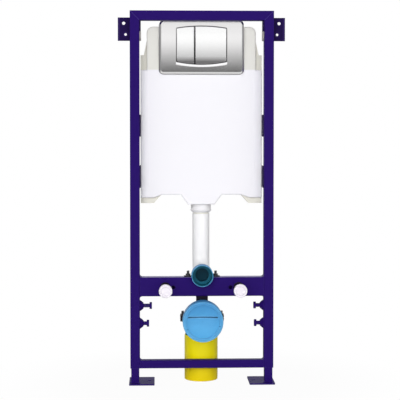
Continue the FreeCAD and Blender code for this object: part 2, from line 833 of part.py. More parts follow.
plate = new_body("flush_plate_body")
plate_side = size.plate_width / 2
pad(plate, "XZ", rectangle(-plate_side, plate_side, plate_low, blank_high), crown_y, tank_front)
round_edges(plate, size.plate_corner, lambda edge: runs_along(Y_AXIS)(edge) and not is_high(edge))
round_edges(plate, size.plate_top_corner, lambda edge: runs_along(Y_AXIS)(edge) and is_high(edge))
crown_front(plate, ZERO)
crowned = plate.Tip
bevel = plate.newObject("PartDesign::Chamfer", "plate_bevel_cut")
bevel.Base = (crowned, crowned_faces(crowned.Shape))
bevel.ChamferType = "Two distances"
bevel.FlipDirection = True
bind(bevel, "Size", size.plate_bevel)
bind(bevel, "Size2", size.plate_bevel_depth)
doc.recompute()
cut_through(plate, "XZ", rectangle(-plate_side, plate_side, plate_high, blank_high))
opening_line = arched_outline(-opening_side, opening_side, ZERO)
cut_through(plate, "XZ", opening_line)
lip = size.plate_lip
lip_y = edge_y + size.plate_lip_wall - size.plate_crown / 2
scoop_sketch = new_sketch(plate, "XZ", -lip_y)
draw_path(scoop_sketch, opening_line)
scoop = plate.newObject("PartDesign::Pocket", "plate_scoop_cut")
scoop.Profile = scoop_sketch
scoop.UseCustomVector = True
scoop.Direction = Vector(0, -1, -1)
bind(scoop, "Direction.y", crown_y - lip_y)
bind(scoop, "Direction.z", -size.scoop)
bind(scoop, "Length", lip_y - crown_y)
doc.recompute()
round_edges(plate, size.opening_corner, lambda edge: is_upper_corner(edge, opening_side))
cut_between(plate, "XZ", arched_outline(-opening_side - lip, opening_side + lip, lip), lip_y, tank_front)
node("flush_plate", plate)

# Buttons, each with a flange behind the plate's lip
seat_y = lip_y + size.button_seat
split_x = -opening_side + size.button_gap + size.small_button_width
buttons = {"small": (-opening_side, split_x, size.button_gap, ZERO),
           "large": (split_x + size.button_split, opening_side, ZERO, size.button_gap)}
for name, (left, right, left_gap, right_gap) in buttons.items():
    button = new_body(f"{name}_button_body")
    pad(button, "XZ", arched_outline(left + left_gap, right - right_gap, -size.button_gap), crown_y,
        seat_y + size.button_flange_wall)
    round_edges(button, size.opening_corner - size.button_gap,
                lambda edge: is_upper_corner(edge, opening_side - size.button_gap))
    crown_front(button, size.button_sink)
    crowned = button.Tip
    soft_edge = button.newObject("PartDesign::Fillet", f"{name}_button_round")
    soft_edge.Base = (crowned, crowned_faces(crowned.Shape))
    bind(soft_edge, "Radius", size.button_round)
    doc.recompute()
    left_reach = size.button_flange + size.button_gap if left_gap is not ZERO else ZERO
    right_reach = size.button_flange + size.button_gap if right_gap is not ZERO else ZERO
    pad(button, "XZ", arched_outline(left + left_gap - left_reach, right - right_gap + right_reach,
                                     size.button_flange), seat_y, seat_y + size.button_flange_wall)
    node(f"{name}_flush_button", button)

# Coupling nut under the sump, with a flared lip and a taper below it
coupling_radius = size.coupling_diameter / 2
neck = spigot_radius + size.spigot_play
coupling_low = sump_level - size.coupling_height
taper = size.coupling_taper
step = size.coupling_lip
node("flush_coupling", turned("flush_coupling_turned", [
    (neck, ZERO), (coupling_radius - taper, ZERO), (coupling_radius, taper), (coupling_radius, taper + step),
    (coupling_radius - step, taper + step * 2), (coupling_radius - step, size.coupling_height),
    (neck, size.coupling_height)], ZERO, pipe_y, coupling_low))

# Flush pipe: down from the neck, then forward through the rail's notch
pipe_top = coupling_low - size.neck_height
pipe_end = front - size.flush_pipe_lead


def bent_pipe(name, radius, wall, start, start_z, level, bend, end, up):
    """A pipe from start above (1) or below (-1) level, round a bend and forward along level to end."""
    body = new_body(name)
    path = new_sketch(body, "YZ")
    bend_start = (start, level + bend * up, bend, up)
    draw_path(path, [(start, start_z), bend_start, (start - bend, level), (end, level)], closed=False)
    ring_sketch = new_sketch(body, "XY", start_z)
    draw_circle(ring_sketch, ZERO, start, radius)
    draw_circle(ring_sketch, ZERO, start, radius - wall)
    feature = body.newObject("PartDesign::AdditivePipe", name + "_sweep")
    feature.Profile = ring_sketch
    feature.Spine = path
    return body


node("flush_pipe", bent_pipe("flush_pipe_body", flush_radius, size.flush_pipe_wall, pipe_y, pipe_top,
                             flush_level, size.flush_bend, pipe_end, 1))

# Flush plug: an open cup in front of the pipe, with a spigot inside it
cup = size.flush_plug_diameter / 2
plug_wall = size.flush_plug_wall
cup_bore = cup - plug_wall
plug_spigot = flush_radius - size.flush_pipe_wall - size.plug_play
spigot_end = -size.flush_plug_spigot
cup_length = size.flush_plug_length
node("flush_plug", turned("flush_plug_turned", [
    (ZERO, spigot_end), (plug_spigot, spigot_end), (plug_spigot, ZERO), (cup, ZERO),
    (cup, cup_length - plug_wall / 2), (cup - plug_wall / 2, cup_length), (cup_bore, cup_length),
    (cup_bore, plug_wall), (plug_spigot - plug_wall, plug_wall),
    (plug_spigot - plug_wall, spigot_end + plug_wall), (ZERO, spigot_end + plug_wall)],
    ZERO, pipe_end, flush_level, FORWARD))

# Strap over the flush pipe, bolted to the bowl rail
strap_bore = flush_radius + size.clamp_play
strap = strap_bore + size.flush_clamp_wall
ear_end = strap + size.flush_clamp_ear
half_width = size.flush_clamp_width / 2
hoop = rod("flush_hoop", strap, size.flush_clamp_width, ZERO, half_width, flush_level, FORWARD)
legs = box("flush_strap_legs", (-strap, -half_width, rail_high), (strap, half_width, flush_level))
ears = box("flush_strap_ears", (-ear_end, -half_width, rail_high),
           (ear_end, half_width, rail_high + size.flush_clamp_wall))
under_rail = box("under_flush_strap", (-ear_end, -half_width, rail_high - strap * 2),
                 (ear_end, half_width, rail_high))
inside = rod("flush_strap_bore", strap_bore, size.flush_clamp_width, ZERO, half_width, flush_level, FORWARD)
throat = box("flush_strap_throat", (-strap_bore, -half_width, rail_high),
             (strap_bore, half_width, flush_level))
bolt_x = strap + size.flush_clamp_ear / 2
bolt_hole = size.clamp_bolt_diameter / 2 + size.clamp_bolt_play
bolt_holes = [rod("flush_ear_hole", bolt_hole, size.flush_clamp_wall, bolt_x * sign, ZERO, rail_high)
              for sign in hands.values()]
node("flush_clamp", cut("flush_clamp_strap", fused("flush_clamp_blank", [hoop, legs, ears]),
                        [under_rail, inside, throat] + bolt_holes))


def bolt(name, x, y, seat_z, grip):
    """A nut standing on seat_z with the bolt's end above it, and its shank going down through grip."""
    nut = new_body(name + "_nut")
    pad(nut, "XY", hexagon(size.clamp_bolt_flats), ZERO, size.clamp_nut_height)
    place(nut, x, y, seat_z)
    shank_length = grip + size.clamp_nut_height + size.clamp_bolt_tail
    shank = rod(name + "_shank", size.clamp_bolt_diameter / 2, shank_length, x, y, seat_z - grip)
    return [nut, shank]


strap_ear_top = rail_high + size.flush_clamp_wall
flush_bolts = []
for hand, sign in hands.items():
    parts = bolt(f"{hand}_flush_bolt", bolt_x * sign, ZERO, strap_ear_top, size.flush_clamp_wall)
    flush_bolts.append(fused(f"{hand}_flush_bolt_fused", parts))
node("flush_clamp_bolts", gathered("flush_bolts", flush_bolts))

# Drain bend: forward to its plug and down into its cap
drain_level = flush_level - size.drain_drop
drain_radius = size.drain_diameter / 2
drain_y = size.drain_back
drain_end = front - size.drain_front
bend = size.drain_bend_radius
node("drain_bend", bent_pipe("drain_bend_body", drain_radius, size.drain_wall, drain_y, size.drain_tail_rise,
                             drain_level, bend, drain_end, -1))

# Drain clamp: two half bands with bolted ears, hung from the bowl rail
clamp_bore = drain_radius + size.clamp_play
clamp_radius = clamp_bore + size.drain_clamp_wall
clamp_back = drain_y - bend - size.drain_clamp_setback
clamp_front = clamp_back - size.drain_clamp_width
ear_tip = clamp_radius + size.drain_clamp_ear
drain_bolt_x = clamp_radius + size.drain_clamp_ear / 2
drain_bolt_y = (clamp_front + clamp_back) / 2
ear_level = size.drain_ear_gap / 2
for half, up in (("upper", 1), ("lower", -1)):
    band = rod(f"{half}_band", clamp_radius, size.drain_clamp_width, ZERO, clamp_back, drain_level, FORWARD)
    near, far = drain_level + ear_level * up, drain_level + (ear_level + size.drain_ear_wall) * up
    low_z, high_z = (near, far) if up > 0 else (far, near)
    ears = box(f"{half}_ears", (-ear_tip, clamp_front, low_z), (ear_tip, clamp_back, high_z))
    outer = drain_level - clamp_radius * up
    spare_low, spare_high = (outer, near) if up > 0 else (near, outer)
    spare = box(f"{half}_spare", (-ear_tip, clamp_front, spare_low), (ear_tip, clamp_back, spare_high))
    inside = rod(f"{half}_bore", clamp_bore, size.drain_clamp_width, ZERO, clamp_back, drain_level, FORWARD)
    holes = [rod(f"{half}_ear_hole", bolt_hole, size.drain_ear_wall, drain_bolt_x * sign, drain_bolt_y, low_z)
             for sign in hands.values()]
    blank = fused(f"{half}_band_blank", [band, ears])
    node(f"drain_clamp_{half}", cut(f"drain_clamp_{half}_cut", blank, [spare, inside] + holes))

drain_grip = size.drain_ear_gap + size.drain_ear_wall * 2
drain_bolts = []
for hand, sign in hands.items():
    seat_z = drain_level + ear_level + size.drain_ear_wall
    parts = bolt(f"{hand}_drain_bolt", drain_bolt_x * sign, drain_bolt_y, seat_z, drain_grip)
    head = new_body(f"{hand}_drain_bolt_head")
    pad(head, "XY", hexagon(size.clamp_bolt_flats), -size.clamp_nut_height, ZERO)
    place(head, drain_bolt_x * sign, drain_bolt_y, seat_z - drain_grip)
    drain_bolts.append(fused(f"{hand}_drain_bolt_fused", parts + [head]))
node("drain_clamp_bolts", gathered("drain_bolts", drain_bolts))

# Hanger between the bowl rail and the upper band
hanger_side = size.hanger_width / 2
hanger = new_body("hanger_body")
web_back = front + size.hanger_wall
foot_back = front + size.hanger_foot
foot_low = rail_low - size.hanger_wall
pad(hanger, "YZ", [(front, drain_level), (web_back, drain_level), (web_back, foot_low), (foot_back, foot_low),
                   (foot_back, rail_low), (front, rail_low)], -hanger_side, hanger_side)
saddle = rod("hanger_saddle", clamp_radius, size.tube_depth, ZERO, back, drain_level, FORWARD)
node("drain_hanger", cut("hanger_cut", hanger, [saddle]))

# Drain plug: a skirted cover with a hollow face, a slot across it and a spigot in the drain
skirt = size.drain_plug_diameter / 2
thin = size.drain_plug_wall
plug_front = front - size.drain_plug_front
plug_length = size.drain_plug_length
face = plug_length - size.drain_plug_dish
spigot = drain_radius - size.drain_wall - size.plug_play
spigot_tip = plug_front + plug_length - drain_end - size.drain_plug_spigot
inner_face = face - thin * 2
rim = skirt - thin
plug_turned = turned("drain_plug_turned", [
    (ZERO, inner_face), (spigot - thin, inner_face), (spigot - thin, spigot_tip), (spigot, spigot_tip),
    (spigot, inner_face), (skirt - thin, inner_face), (skirt - thin, ZERO), (skirt, ZERO),
    (skirt, plug_length - thin), (rim, plug_length, bow_radius(rim, size.drain_plug_dish), 1), (ZERO, face)],
    ZERO, plug_front + plug_length, drain_level, FORWARD)
slot_side = size.slot_width / 2
slot_low = drain_level + size.slot_rise
slot_floor = plug_front + size.drain_plug_dish + size.slot_depth
slot = box("drain_plug_slot", (-slot_side, plug_front, slot_low),
           (slot_side, slot_floor, slot_low + size.slot_height))
node("drain_plug", cut("drain_plug_cut", plug_turned, [slot]))

# Cap on the drain's lower end
cap_bore = drain_radius + size.drain_cap_play
cap_radius = cap_bore + size.drain_cap_wall
cap_round = size.drain_cap_round
cap_height = drain_level - bend - size.drain_cap_setback - size.drain_cap_ground
floor_top = size.drain_cap_floor
node("drain_cap", turned("drain_cap_turned", [
    (ZERO, ZERO), (cap_radius - cap_round, ZERO, cap_round, -1), (cap_radius, cap_round),
    (cap_radius, cap_height), (cap_bore, cap_height), (cap_bore, floor_top), (ZERO, floor_top)],
    ZERO, drain_y, size.drain_cap_ground))

doc.recompute()

# Every object has to be sound before anything is written
faults = [thing.Label for thing in doc.Objects if {"Invalid", "Error"} & set(thing.State)]
faults += [name for name, thing in nodes.items() if thing.Shape.isNull() or not thing.Shape.isValid()]
if faults:
    raise RuntimeError("faulty: " + ", ".join(faults))

os.makedirs("parts", exist_ok=True)
for name, thing in nodes.items():
    thing.Shape.exportStep(f"parts/{name}.step")
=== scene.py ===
"""Looks of a wall hung toilet frame, dressed over its packed solids.

Metres, +Z up, front towards -Y, in the frame of the packed model.
"""

import logging
import math
from dataclasses import dataclass, replace
from enum import Enum

import bmesh
import bpy
from mathutils import Matrix, Vector


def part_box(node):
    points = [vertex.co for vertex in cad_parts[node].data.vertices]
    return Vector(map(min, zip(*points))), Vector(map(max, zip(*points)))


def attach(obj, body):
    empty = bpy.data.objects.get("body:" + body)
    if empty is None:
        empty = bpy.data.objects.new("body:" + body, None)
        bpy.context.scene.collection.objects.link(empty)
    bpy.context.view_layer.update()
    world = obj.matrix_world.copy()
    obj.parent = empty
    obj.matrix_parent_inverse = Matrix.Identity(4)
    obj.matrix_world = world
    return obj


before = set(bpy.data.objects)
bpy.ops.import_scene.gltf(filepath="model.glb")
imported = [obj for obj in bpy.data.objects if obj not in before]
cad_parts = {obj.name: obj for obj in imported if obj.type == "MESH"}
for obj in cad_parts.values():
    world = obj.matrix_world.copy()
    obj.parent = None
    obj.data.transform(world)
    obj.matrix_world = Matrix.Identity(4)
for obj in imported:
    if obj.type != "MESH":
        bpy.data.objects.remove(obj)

log = logging.getLogger("toilet_frame")
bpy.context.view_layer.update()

FORWARD = Matrix.Rotation(math.radians(90), 4, "X")
TO_RIGHT = Matrix.Rotation(math.radians(90), 4, "Y")
TO_LEFT = Matrix.Rotation(math.radians(-90), 4, "Y")
UPRIGHT = Matrix.Identity(4)


class Hand(Enum):
    """The two sides of the frame, with the sign of their X."""

    LEFT = -1
    RIGHT = 1

    @property
    def word(self) -> str:
        """The side's word in node names."""
        return self.name.lower()


class Body(Enum):
    """The bodies that pieces ride on."""

    FRAME = "frame"
    LEFT_FOOT = "left_foot"
    RIGHT_FOOT = "right_foot"


def srgb(code: str) -> tuple[float, float, float, float]:
    """Turn a display colour into the linear colour that shaders take.

    Args:
        code: Six hexadecimal digits.

    Returns:
        Linear red, green and blue, with an alpha of 1.
    """
    parts = [int(code[i:i + 2], 16) / 255 for i in (0, 2, 4)]
    linear = [part / 12.92 if part <= 0.04045 else ((part + 0.055) / 1.055) ** 2.4 for part in parts]
    return (*linear, 1.0)


class Tree:
    """A node tree while it is put together."""

    def __init__(self, tree: bpy.types.NodeTree) -> None:
        """Keep the tree.

        Args:
            tree: The tree that gets the nodes.
        """
        self.tree = tree

    def add(self, kind: str, sockets: dict | None = None, **settings: object) -> bpy.types.Node:
        """Add a node.

        Args:
            kind: The node's type name, without its ShaderNode prefix.
            sockets: Input names or numbers, each with a value or with a socket to link from.
            settings: Properties of the node itself.

        Returns:
            The new node.
        """
        made = self.tree.nodes.new("ShaderNode" + kind)
        for name, value in settings.items():
            setattr(made, name, value)
        for name, value in (sockets or {}).items():
            if isinstance(value, bpy.types.NodeSocket):
                self.tree.links.new(value, made.inputs[name])
            else:
                made.inputs[name].default_value = value
        return made


class Effects:
    """Surface effects that several finishes share, each built once as a node group."""

    def __init__(self) -> None:
        """Build the groups."""
        self.tone = self.build_tone()
        self.grain = self.build_grain()
        self.edge = self.build_edge()
        self.level = self.build_level()

    @staticmethod
    def new_group(name: str, inputs: dict[str, str], outputs: dict[str, str]) -> tuple:
        """Start a group with its sockets.

        Args:
            name: The group's name.
            inputs: Input names with their socket types.
            outputs: Output names with their socket types.

        Returns:
            The group's tree, its input node and its output node.
        """
        group = bpy.data.node_groups.new(name, "ShaderNodeTree")
        for direction, sockets in (("INPUT", inputs), ("OUTPUT", outputs)):
            for socket, kind in sockets.items():
                group.interface.new_socket(socket, in_out=direction, socket_type="NodeSocket" + kind)
        return group, group.nodes.new("NodeGroupInput"), group.nodes.new("NodeGroupOutput")

    def build_tone(self) -> bpy.types.NodeTree:
        """Make the group that mottles a colour.

        Returns:
            The group, from Color, Amount and Scale to Color.
        """
        group, given, result = self.new_group(
            "tone_mottle", {"Color": "Color", "Amount": "Float", "Scale": "Float"}, {"Color": "Color"})
        tree = Tree(group)
        where = tree.add("TexCoord")
        noise = tree.add("TexNoise", {"Vector": where.outputs["Object"], "Scale": given.outputs["Scale"],
                                      "Detail": 4.0, "Roughness": 0.6})
        centred = tree.add("Math", {0: noise.outputs["Fac"], 1: 0.5}, operation="SUBTRACT")
        swing = tree.add("Math", {0: centred.outputs[0], 1: given.outputs["Amount"]}, operation="MULTIPLY")
        level = tree.add("Math", {0: swing.outputs[0], 1: 1.0}, operation="ADD")
        toned = tree.add("VectorMath", {0: given.outputs["Color"]}, operation="SCALE")
        group.links.new(level.outputs[0], toned.inputs["Scale"])
        group.links.new(toned.outputs[0], result.inputs["Color"])
        return group

    def build_grain(self) -> bpy.types.NodeTree:
        """Make the group that gives a surface its fine relief and its uneven gloss.

        Returns:
            The group, from Stretch, Scale, Gloss and Swing to Height and Roughness.
        """
        group, given, result = self.new_group(
            "surface_grain", {"Stretch": "Vector", "Scale": "Float", "Gloss": "Float", "Swing": "Float"},
            {"Height": "Float", "Roughness": "Float"})
        tree = Tree(group)
        where = tree.add("TexCoord")
        drawn = tree.add("Mapping", {"Vector": where.outputs["Object"], "Scale": given.outputs["Stretch"]})
        fine = tree.add("TexNoise", {"Vector": drawn.outputs[0], "Scale": given.outputs["Scale"],
                                     "Detail": 3.0})
        broad = tree.add("TexNoise", {"Vector": where.outputs["Object"], "Scale": 14.0, "Detail": 5.0,
                                      "Roughness": 0.65})
        both = tree.add("Math", {0: fine.outputs["Fac"], 1: broad.outputs["Fac"]}, operation="ADD")
        centred = tree.add("Math", {0: both.outputs[0], 1: 1.0}, operation="SUBTRACT")
        rough = tree.add("Math", {0: centred.outputs[0], 1: given.outputs["Swing"],
                                  2: given.outputs["Gloss"]}, operation="MULTIPLY_ADD", use_clamp=True)
        group.links.new(fine.outputs["Fac"], result.inputs["Height"])
        group.links.new(rough.outputs[0], result.inputs["Roughness"])
        return group

    def build_edge(self) -> bpy.types.NodeTree:
        """Make the group that finds a piece's sharp edges, where a painted highlight is laid, and painted
        shade on the stud caps.

        Returns:
            The group, from Radius and Gain to Mask.
        """
        group, given, result = self.new_group(
            "painted_edge_mask", {"Radius": "Float", "Gain": "Float"}, {"Mask": "Float"})
        tree = Tree(group)
        softened = tree.add("Bevel", {"Radius": given.outputs["Radius"]}, samples=6)
        surface = tree.add("NewGeometry")
        along = tree.add("VectorMath", {0: softened.outputs["Normal"], 1: surface.outputs["Normal"]},
                         operation="DOT_PRODUCT")
        turned = tree.add("Math", {0: 1.0, 1: along.outputs["Value"]}, operation="SUBTRACT")
        mask = tree.add("Math", {0: turned.outputs[0], 1: given.outputs["Gain"]}, operation="MULTIPLY",
                        use_clamp=True)
        group.links.new(mask.outputs[0], result.inputs["Mask"])
        return group

    def build_level(self) -> bpy.types.NodeTree:
        """Make the group that fades from 0 to 1 going up through a level.

        Returns:
            The group, from Level and Blur to Mask.
        """
        group, given, result = self.new_group(
            "level_fade", {"Level": "Float", "Blur": "Float"}, {"Mask": "Float"})
        tree = Tree(group)
        where = tree.add("TexCoord")
        parts = tree.add("SeparateXYZ", {0: where.outputs["Object"]})
        above = tree.add("Math", {0: parts.outputs["Z"], 1: given.outputs["Level"]}, operation="SUBTRACT")
        share = tree.add("Math", {0: above.outputs[0], 1: given.outputs["Blur"]}, operation="DIVIDE")
        mask = tree.add("Math", {0: share.outputs[0], 1: 0.5}, operation="ADD", use_clamp=True)
        group.links.new(mask.outputs[0], result.inputs["Mask"])
        return group


@dataclass(frozen=True)
class Finish:
    """A surface finish, and how it turns into a material."""

    name: str
    slot: str
    colour: str
    roughness: float
    swing: float = 0.1
    metallic: float = 0.0
    specular: float = 0.4
    coat: float = 0.0
    glow: float = 0.0
    mottle: float = 0.08
    mottle_scale: float = 9.0
    grain_scale: float = 700.0
    grain_stretch: tuple[float, float, float] = (1.0, 1.0, 1.0)
    grain_depth: float = 0.00004
    # The edge colour is painted along sharp edges: a painted highlight on most finishes, painted shade on the
    # stud caps.
    painted_edge_shading: str = ""
    edge_radius: float = 0.0012
    edge_gain: float = 2.0
    # The upper colour is painted above a height set by the level and blur; on each finish it is painted light
    # or painted shade, as noted there.
    painted_shading_above: str = ""
    upper_level: float = 0.0
    painted_shading_blur: float = 0.004
    glow_radius: tuple[float, float, float] = (0.004, 0.004, 0.004)

    def material(self, effects: Effects) -> bpy.types.Material:
        """Make the finish's material.

        Args:
            effects: The shared surface effects.

        Returns:
            The material.
        """
        made = bpy.data.materials.new(self.name)
        made.use_nodes = True
        tree = Tree(made.node_tree)
        shader = made.node_tree.nodes["Principled BSDF"]
        tone = tree.add("Group", node_tree=effects.tone)
        tone.inputs["Color"].default_value = srgb(self.colour)
        tone.inputs["Amount"].default_value = self.mottle
        tone.inputs["Scale"].default_value = self.mottle_scale
        grain = tree.add("Group", node_tree=effects.grain)
        grain.inputs["Stretch"].default_value = self.grain_stretch
        grain.inputs["Scale"].default_value = self.grain_scale
        grain.inputs["Gloss"].default_value = self.roughness
        grain.inputs["Swing"].default_value = self.swing
        bump = tree.add("Bump", {"Height": grain.outputs["Height"], "Distance": self.grain_depth})
        links = made.node_tree.links
        colour = tone.outputs["Color"]
        # Painted light and shade: a second colour above a height.
        if self.painted_shading_above:
            level = tree.add("Group", node_tree=effects.level)
            level.inputs["Level"].default_value = self.upper_level
            level.inputs["Blur"].default_value = self.painted_shading_blur
            colour = self.mixed(tree, level.outputs["Mask"], colour, self.painted_shading_above)
        # Painted highlight along sharp edges, painted shade on the stud caps.
        if self.painted_edge_shading:
            edge = tree.add("Group", node_tree=effects.edge)
            edge.inputs["Radius"].default_value = self.edge_radius
            edge.inputs["Gain"].default_value = self.edge_gain
            colour = self.mixed(tree, edge.outputs["Mask"], colour, self.painted_edge_shading)
        links.new(colour, shader.inputs["Base Color"])
        links.new(grain.outputs["Roughness"], shader.inputs["Roughness"])
        links.new(bump.outputs["Normal"], shader.inputs["Normal"])
        shader.inputs["Metallic"].default_value = self.metallic
        shader.inputs["Specular IOR Level"].default_value = self.specular
        shader.inputs["Coat Weight"].default_value = self.coat
        shader.inputs["Subsurface Weight"].default_value = self.glow
        shader.inputs["Subsurface Radius"].default_value = self.glow_radius
        return made

    @staticmethod
    def mixed(tree: Tree, mask: bpy.types.NodeSocket, under: bpy.types.NodeSocket,
              over: str) -> bpy.types.NodeSocket:
        """Lay a second colour over the first where a mask says so.

        Args:
            tree: The material's tree.
            mask: Where the second colour shows.
            under: The first colour.
            over: The second colour's code.

        Returns:
            The mixed colour.
        """
        mix = tree.add("MixRGB", {"Fac": mask, "Color1": under, "Color2": srgb(over)})
        return mix.outputs["Color"]


class Finishes:
    """Every finish on the frame, made once."""

    # The frame's indigo coat, with a painted highlight along the tubes' edges.
    PAINT = Finish("indigo_powder_coat", "frame_paint", "250d63", 0.5, specular=0.07, mottle=0.18,
                   mottle_scale=6.0, grain_scale=900.0, grain_depth=0.00004, painted_edge_shading="5d4e93")
    # The bowl rail's top face is painted lighter above 0.3366, a painted highlight.
    RAIL = replace(PAINT, name="indigo_rail_coat_painted_top_highlight", painted_shading_above="a9a3cc", upper_level=0.3366,
                   painted_shading_blur=0.0006)
    # A darker copy of the indigo coat, as painted shade on the wall brackets and cistern pads behind the
    # posts, with a painted edge highlight.
    BRACKET = Finish("indigo_coat_painted_shade", "bracket_paint", "1f1045", 0.55, specular=0.06, mottle=0.25,
                     grain_scale=900.0, grain_depth=0.00004, painted_edge_shading="3b2b66")
    SEAM = Finish("ground_weld", "frame_paint", "43347f", 0.5, specular=0.1, mottle=0.3, mottle_scale=200.0)
    # A lighter indigo with a painted edge highlight, as a painted highlight on the bracket hems and washers.
    HEM_HIGHLIGHT = Finish("hem_painted_highlight", "bracket_paint", "2b1a55", 0.5, specular=0.08, mottle=0.2,
                 painted_edge_shading="4b3b78", edge_radius=0.0008)
    CLIP = Finish("bare_clip", "zinc", "aaa5a3", 0.45, swing=0.2, metallic=0.5, mottle=0.3, mottle_scale=90.0)
    # Painted glints along the bolts' edges.
    BOLT = Finish("black_oxide_bolt", "bolt_black", "4a484c", 0.4, swing=0.2, metallic=0.8, mottle=0.4,
                  mottle_scale=150.0, painted_edge_shading="b9b8bc", edge_radius=0.001)
    ZINC = Finish("zinc_plate", "zinc", "b4b4b8", 0.36, swing=0.2, metallic=1.0, mottle=0.3,
                  mottle_scale=120.0, grain_scale=1500.0, grain_depth=0.00002)
    # A painted highlight along the black parts' edges.
    CLAMP = Finish("black_coated_steel", "clamp_black", "17121f", 0.5, specular=0.15, mottle=0.25,
                   painted_edge_shading="3a3346")
    CREAM = Finish("cream_moulding", "tank_cream", "e6e4d9", 0.5, specular=0.3, glow=0.05, mottle=0.03,
                   grain_depth=0.00002)
    # The cover's top band above 0.9885 is painted darker and creamier, painted shade.
    COVER = Finish("white_moulding", "cover_white", "f5f4f9", 0.5, specular=0.3, glow=0.05, mottle=0.015,
                   mottle_scale=4.0, grain_depth=0.00002, painted_shading_above="e6e5df", upper_level=0.9885)
    CHROME = Finish("satin_chrome", "satin_chrome", "efeeee", 0.16, swing=0.03, metallic=1.0, mottle=0.01,
                    grain_scale=420.0, grain_stretch=(0.06, 1.0, 1.0), grain_depth=0.000001)
    # Darker below and white above 1.0215, a painted reflection on the buttons.
    BUTTON = replace(CHROME, name="button_chrome_painted_reflection", colour="a8a6a7", painted_shading_above="ffffff", upper_level=1.0215,
                     painted_shading_blur=0.016)
    # Near-black strips as painted shadow in the gaps round the plate and buttons, painted lighter above 1.08.
    SHADOW_STRIP = Finish("painted_shadow_line", "clamp_black", "2a292b", 0.6, specular=0.1, mottle=0.2, mottle_scale=60.0,
                  painted_shading_above="7d7b7e", upper_level=1.08, painted_shading_blur=0.07)
    # Bright, smooth chrome as a painted highlight on the scoop below the buttons.
    INSERT = Finish("scoop_painted_highlight", "satin_chrome", "fefdfe", 0.08, swing=0.02, metallic=1.0, mottle=0.01,
                    grain_depth=0.000001)
    PIPE = Finish("white_pipe", "pipe_white", "fdfdfe", 0.34, specular=0.4, glow=0.05, mottle=0.015,
                  grain_depth=0.00001)
    COUPLING = replace(PIPE, name="white_coupling", colour="f1f0f3", roughness=0.4)
    # The plugs' blue, painted darker above 0.23 as painted shade, with a painted highlight along rims and
    # edges.
    BLUE = Finish("blue_plug", "plug_blue", "54a6da", 0.45, specular=0.3, glow=0.05, mottle=0.1,
                  mottle_scale=24.0, grain_depth=0.00002, painted_edge_shading="9bd2ef", edge_radius=0.004,
                  painted_shading_above="4290c8", upper_level=0.23, painted_shading_blur=0.08)
    # The plug band's blue, painted darker above 0.225 as painted shade, with a painted edge highlight.
    BAND = Finish("blue_plug_rim", "plug_blue", "529fd2", 0.42, specular=0.3, glow=0.05, mottle=0.12,
                  mottle_scale=30.0, grain_depth=0.00002, painted_edge_shading="78bde5", edge_radius=0.0012,
                  painted_shading_above="3f8cc4", upper_level=0.225, painted_shading_blur=0.07)
    # Darker blue for the notch pads, and as painted shade on the slot's floor.
    NOTCH_AND_SLOT_SHADE = Finish("blue_plug_notch_and_slot_shade", "plug_blue", "2c6a96", 0.5, specular=0.2, mottle=0.15,
                   mottle_scale=60.0)
    TEAL = Finish("teal_seal", "plug_blue", "125d74", 0.5, specular=0.2, mottle=0.4, mottle_scale=45.0)
    # Near-black as painted shade deep in the outlet's spigot.
    BORE_SHADE = Finish("painted_bore_shade", "plug_blue", "0d3342", 0.5, specular=0.1, mottle=0.5, mottle_scale=60.0)
    # The cap is painted darker and more orange below 0.07, painted shade under the bottom rail.
    YELLOW = Finish("yellow_cap", "cap_yellow", "ead205", 0.36, specular=0.2, glow=0.05, mottle=0.08,
                    mottle_scale=14.0, grain_depth=0.00002, painted_shading_above="fdec04", upper_level=0.07,
                    painted_shading_blur=0.03)
    DRAIN = Finish("black_drain_pipe", "drain_black", "17171a", 0.45, specular=0.3, mottle=0.2)
    # A darker lilac along the caps' edges and dish ring, painted shade.
    CAP = Finish("white_stud_cap", "cap_white", "ece7ef", 0.36, specular=0.4, glow=0.05, mottle=0.02,
                 grain_depth=0.00002, painted_edge_shading="bdb1cc", edge_radius=0.0022)

    def __init__(self, effects: Effects) -> None:
        """Make the materials.

        Args:
            effects: The shared surface effects.
        """
        listed = [value for value in vars(Finishes).values() if isinstance(value, Finish)]
        self.made = {finish.name: finish.material(effects) for finish in listed}

    def dress(self, finish: Finish, *names: str) -> None:
        """Give packed nodes a finish.

        Args:
            finish: The finish.
            names: The nodes' names.
        """
        for name in names:
            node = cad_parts[name]
            node.data.materials.clear()
            node.data.materials.append(self.made[finish.name])
            log.info("dressed %s in %s", name, finish.name)


def verts_in(geometry: list) -> list[bmesh.types.BMVert]:
    """The vertices among the geometry that an operator gives back."""
    return [item for item in geometry if isinstance(item, bmesh.types.BMVert)]


